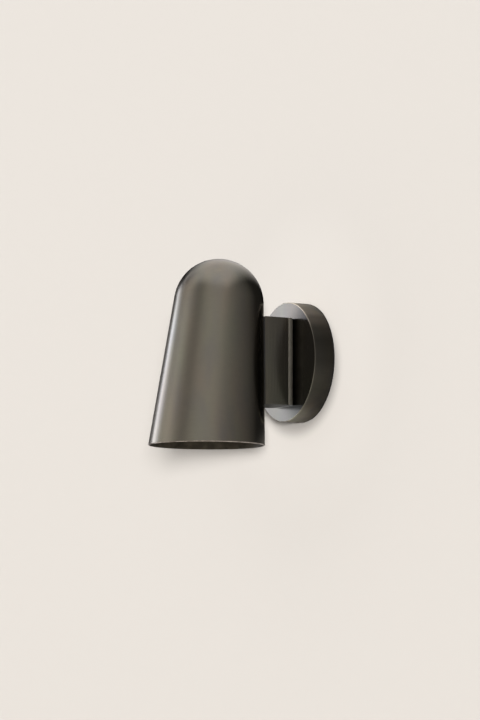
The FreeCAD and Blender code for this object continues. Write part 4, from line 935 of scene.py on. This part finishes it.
def chips_tree():
    """Geometry nodes for the ring of light chips: white square bases with a low dome of phosphor."""
    tree, add, given = new_group("Light Chips", "Geometry", {
        "Int": ("Count",), "Float": ("Ring Radius", "Side", "Thickness"), "Vector": ("Centre", "Turn"),
        "Material": ("Base Finish", "Finish")}, "Geometry")
    ring = add("GeometryNodeMeshCircle", {"Vertices": given["Count"], "Radius": given["Ring Radius"]})
    step = add("Math", 2 * math.pi, given["Count"], operation="DIVIDE")
    turn = add("Math", add("GeometryNodeInputIndex"), step, operation="MULTIPLY")
    turn = add("CombineXYZ", {2: turn})
    low = add("Math", given["Thickness"], 0.7, operation="MULTIPLY")
    size = add("CombineXYZ", given["Side"], given["Side"], low)
    base = add("GeometryNodeMeshCube", {"Size": size})
    lift = add("Math", low, 0.5, operation="MULTIPLY")
    lift = add("CombineXYZ", {2: lift})
    base = add("GeometryNodeTransform", {"Geometry": base, "Translation": lift})
    base = add("GeometryNodeSetMaterial", {"Geometry": base, "Material": given["Base Finish"]})
    wide = add("Math", given["Side"], 0.42, operation="MULTIPLY")
    dome = add("GeometryNodeMeshUVSphere", {"Segments": 20, "Rings": 10, "Radius": wide})
    flat = add("Math", given["Thickness"], wide, operation="DIVIDE")
    flat = add("CombineXYZ", 1.0, 1.0, flat)
    dome = add("GeometryNodeTransform", {"Geometry": dome, "Scale": flat})
    dome = add("GeometryNodeSetMaterial", {"Geometry": dome, "Material": given["Finish"]})
    chip = add("GeometryNodeJoinGeometry", [base, dome])
    chips = add("GeometryNodeInstanceOnPoints", {"Points": ring, "Instance": chip, "Rotation": turn})
    chips = add("GeometryNodeTransform", {"Geometry": chips, "Translation": given["Centre"],
                                          "Rotation": given["Turn"]})
    chips = add("GeometryNodeRealizeInstances", chips)
    add("NodeGroupOutput", {"Geometry": chips})
    return tree


class WALLLAMP_OT_lamp(bpy.types.Operator):
    """The lamp: opal globe, white body, screw cap with its contact, and the board with its light chips"""

    bl_idname = "walllamp.lamp"
    bl_label = "Lamp"

    def execute(self, context):
        copy_smooth("lamp_globe", "lamp_body", "lamp_screw_cap", body="lamp")
        copy_smooth("lamp_end_contact", body="lamp_contact")
        dress("lamp_insulator", "lamp_light_board", "lamp_driver")
        flare = context.scene.wall_lamp_sizes.flare
        chips = run_tree("lamp_light_chips_ring", chips_tree(), {
            "Count": 8, "Ring Radius": 16 * MM, "Side": 3 * MM, "Thickness": 0.7 * MM,
            "Centre": (0.0, -104.775 * MM, -23.95 * MM), "Turn": (math.pi - flare, 0.0, 0.0),
            "Base Finish": finish_of("light_board_aluminium"), "Finish": finish_of("yellow_phosphor")})
        smooth_faces(chips.data, math.radians(40))
        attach(chips, "lamp")
        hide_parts("lamp_light_chips")
        return {"FINISHED"}


class WALLLAMP_OT_lampholder(bpy.types.Operator):
    """The lampholder: cap, body, insert, contacts and the bracket that carries it"""

    bl_idname = "walllamp.lampholder"
    bl_label = "Lampholder"

    def execute(self, context):
        copy_smooth("lampholder_body", "lampholder_cap", "lampholder_screw_shell", "lampholder_bracket")
        dress("lampholder_insert", "lampholder_terminals", "lampholder_terminal_screws",
              "lampholder_centre_contact", "lampholder_nipple", "lampholder_lock_nut",
              "lampholder_tooth_washer", "saddle_pad")
        return {"FINISHED"}


class WALLLAMP_OT_wires(bpy.types.Operator):
    """The three wires between the terminals and the lampholder"""

    bl_idname = "walllamp.wires"
    bl_label = "Wires"

    def execute(self, context):
        copy_smooth("live_wire", "neutral_wire", "earth_wire", ending="_tube", angle=math.radians(50))
        return {"FINISHED"}


class WALLLAMP_OT_rubber_parts(bpy.types.Operator):
    """The gaskets, bushes and grommet"""

    bl_idname = "walllamp.rubber_parts"
    bl_label = "Rubber Parts"

    def execute(self, context):
        copy_smooth("wall_gasket", "neck_gasket", "cable_entry_bush", "neck_rear_bush", "neck_front_bush",
                    "bracket_grommet")
        return {"FINISHED"}


class WALLLAMP_OT_fittings(bpy.types.Operator):
    """The mounting plate, blocks, terminals, washers and earth parts"""

    bl_idname = "walllamp.fittings"
    bl_label = "Fittings"

    def execute(self, context):
        dress("mounting_plate", "terminal_block", "terminal_tubes", "terminal_block_screw",
              "earth_tooth_washer", "earth_ring_terminal", "earth_screw", "neck_rear_washers",
              "bracket_washers", "neck_rear_block", "neck_front_block")
        return {"FINISHED"}


class WALLLAMP_PT_panel(bpy.types.Panel):
    """The wall lamp's pieces and settings"""

    bl_idname = "WALLLAMP_PT_panel"
    bl_label = "Outdoor Wall Lamp"
    bl_space_type = "VIEW_3D"
    bl_region_type = "UI"
    bl_category = "Wall Lamp"

    def draw(self, context):
        for group in SETTINGS:
            settings = getattr(context.scene, group)
            box = self.layout.box()
            for name in settings.bl_rna.properties.keys():
                if name not in ("rna_type", "name"):
                    box.prop(settings, name)
        for operator in OPERATORS:
            self.layout.operator(operator.bl_idname)


OPERATORS = (WALLLAMP_OT_stage, WALLLAMP_OT_shade, WALLLAMP_OT_wall_plate, WALLLAMP_OT_neck,
             WALLLAMP_OT_screws, WALLLAMP_OT_lamp, WALLLAMP_OT_lampholder, WALLLAMP_OT_wires,
             WALLLAMP_OT_rubber_parts, WALLLAMP_OT_fittings)
SETTINGS = {"wall_lamp_sizes": WallLampSizes, "wall_lamp_colours": WallLampColours,
            "wall_lamp_stage": WallLampStage}
CLASSES = (*SETTINGS.values(), *OPERATORS, WALLLAMP_PT_panel)


def register():
    """Make the classes and settings known to Blender."""
    for item in CLASSES:
        bpy.utils.register_class(item)
    for name, group in SETTINGS.items():
        setattr(bpy.types.Scene, name, bpy.props.PointerProperty(type=group))


def unregister():
    """Take the classes and settings out of Blender again."""
    for name in SETTINGS:
        delattr(bpy.types.Scene, name)
    for item in reversed(CLASSES):
        bpy.utils.unregister_class(item)


def main():
    """Build the whole lamp and its stage."""
    register()
    bpy.ops.walllamp.stage()
    bpy.ops.walllamp.shade()
    bpy.ops.walllamp.wall_plate()
    bpy.ops.walllamp.neck()
    bpy.ops.walllamp.screws()
    bpy.ops.walllamp.lamp()
    bpy.ops.walllamp.lampholder()
    bpy.ops.walllamp.wires()
    bpy.ops.walllamp.rubber_parts()
    bpy.ops.walllamp.fittings()


if __name__ == "__main__":
    main()
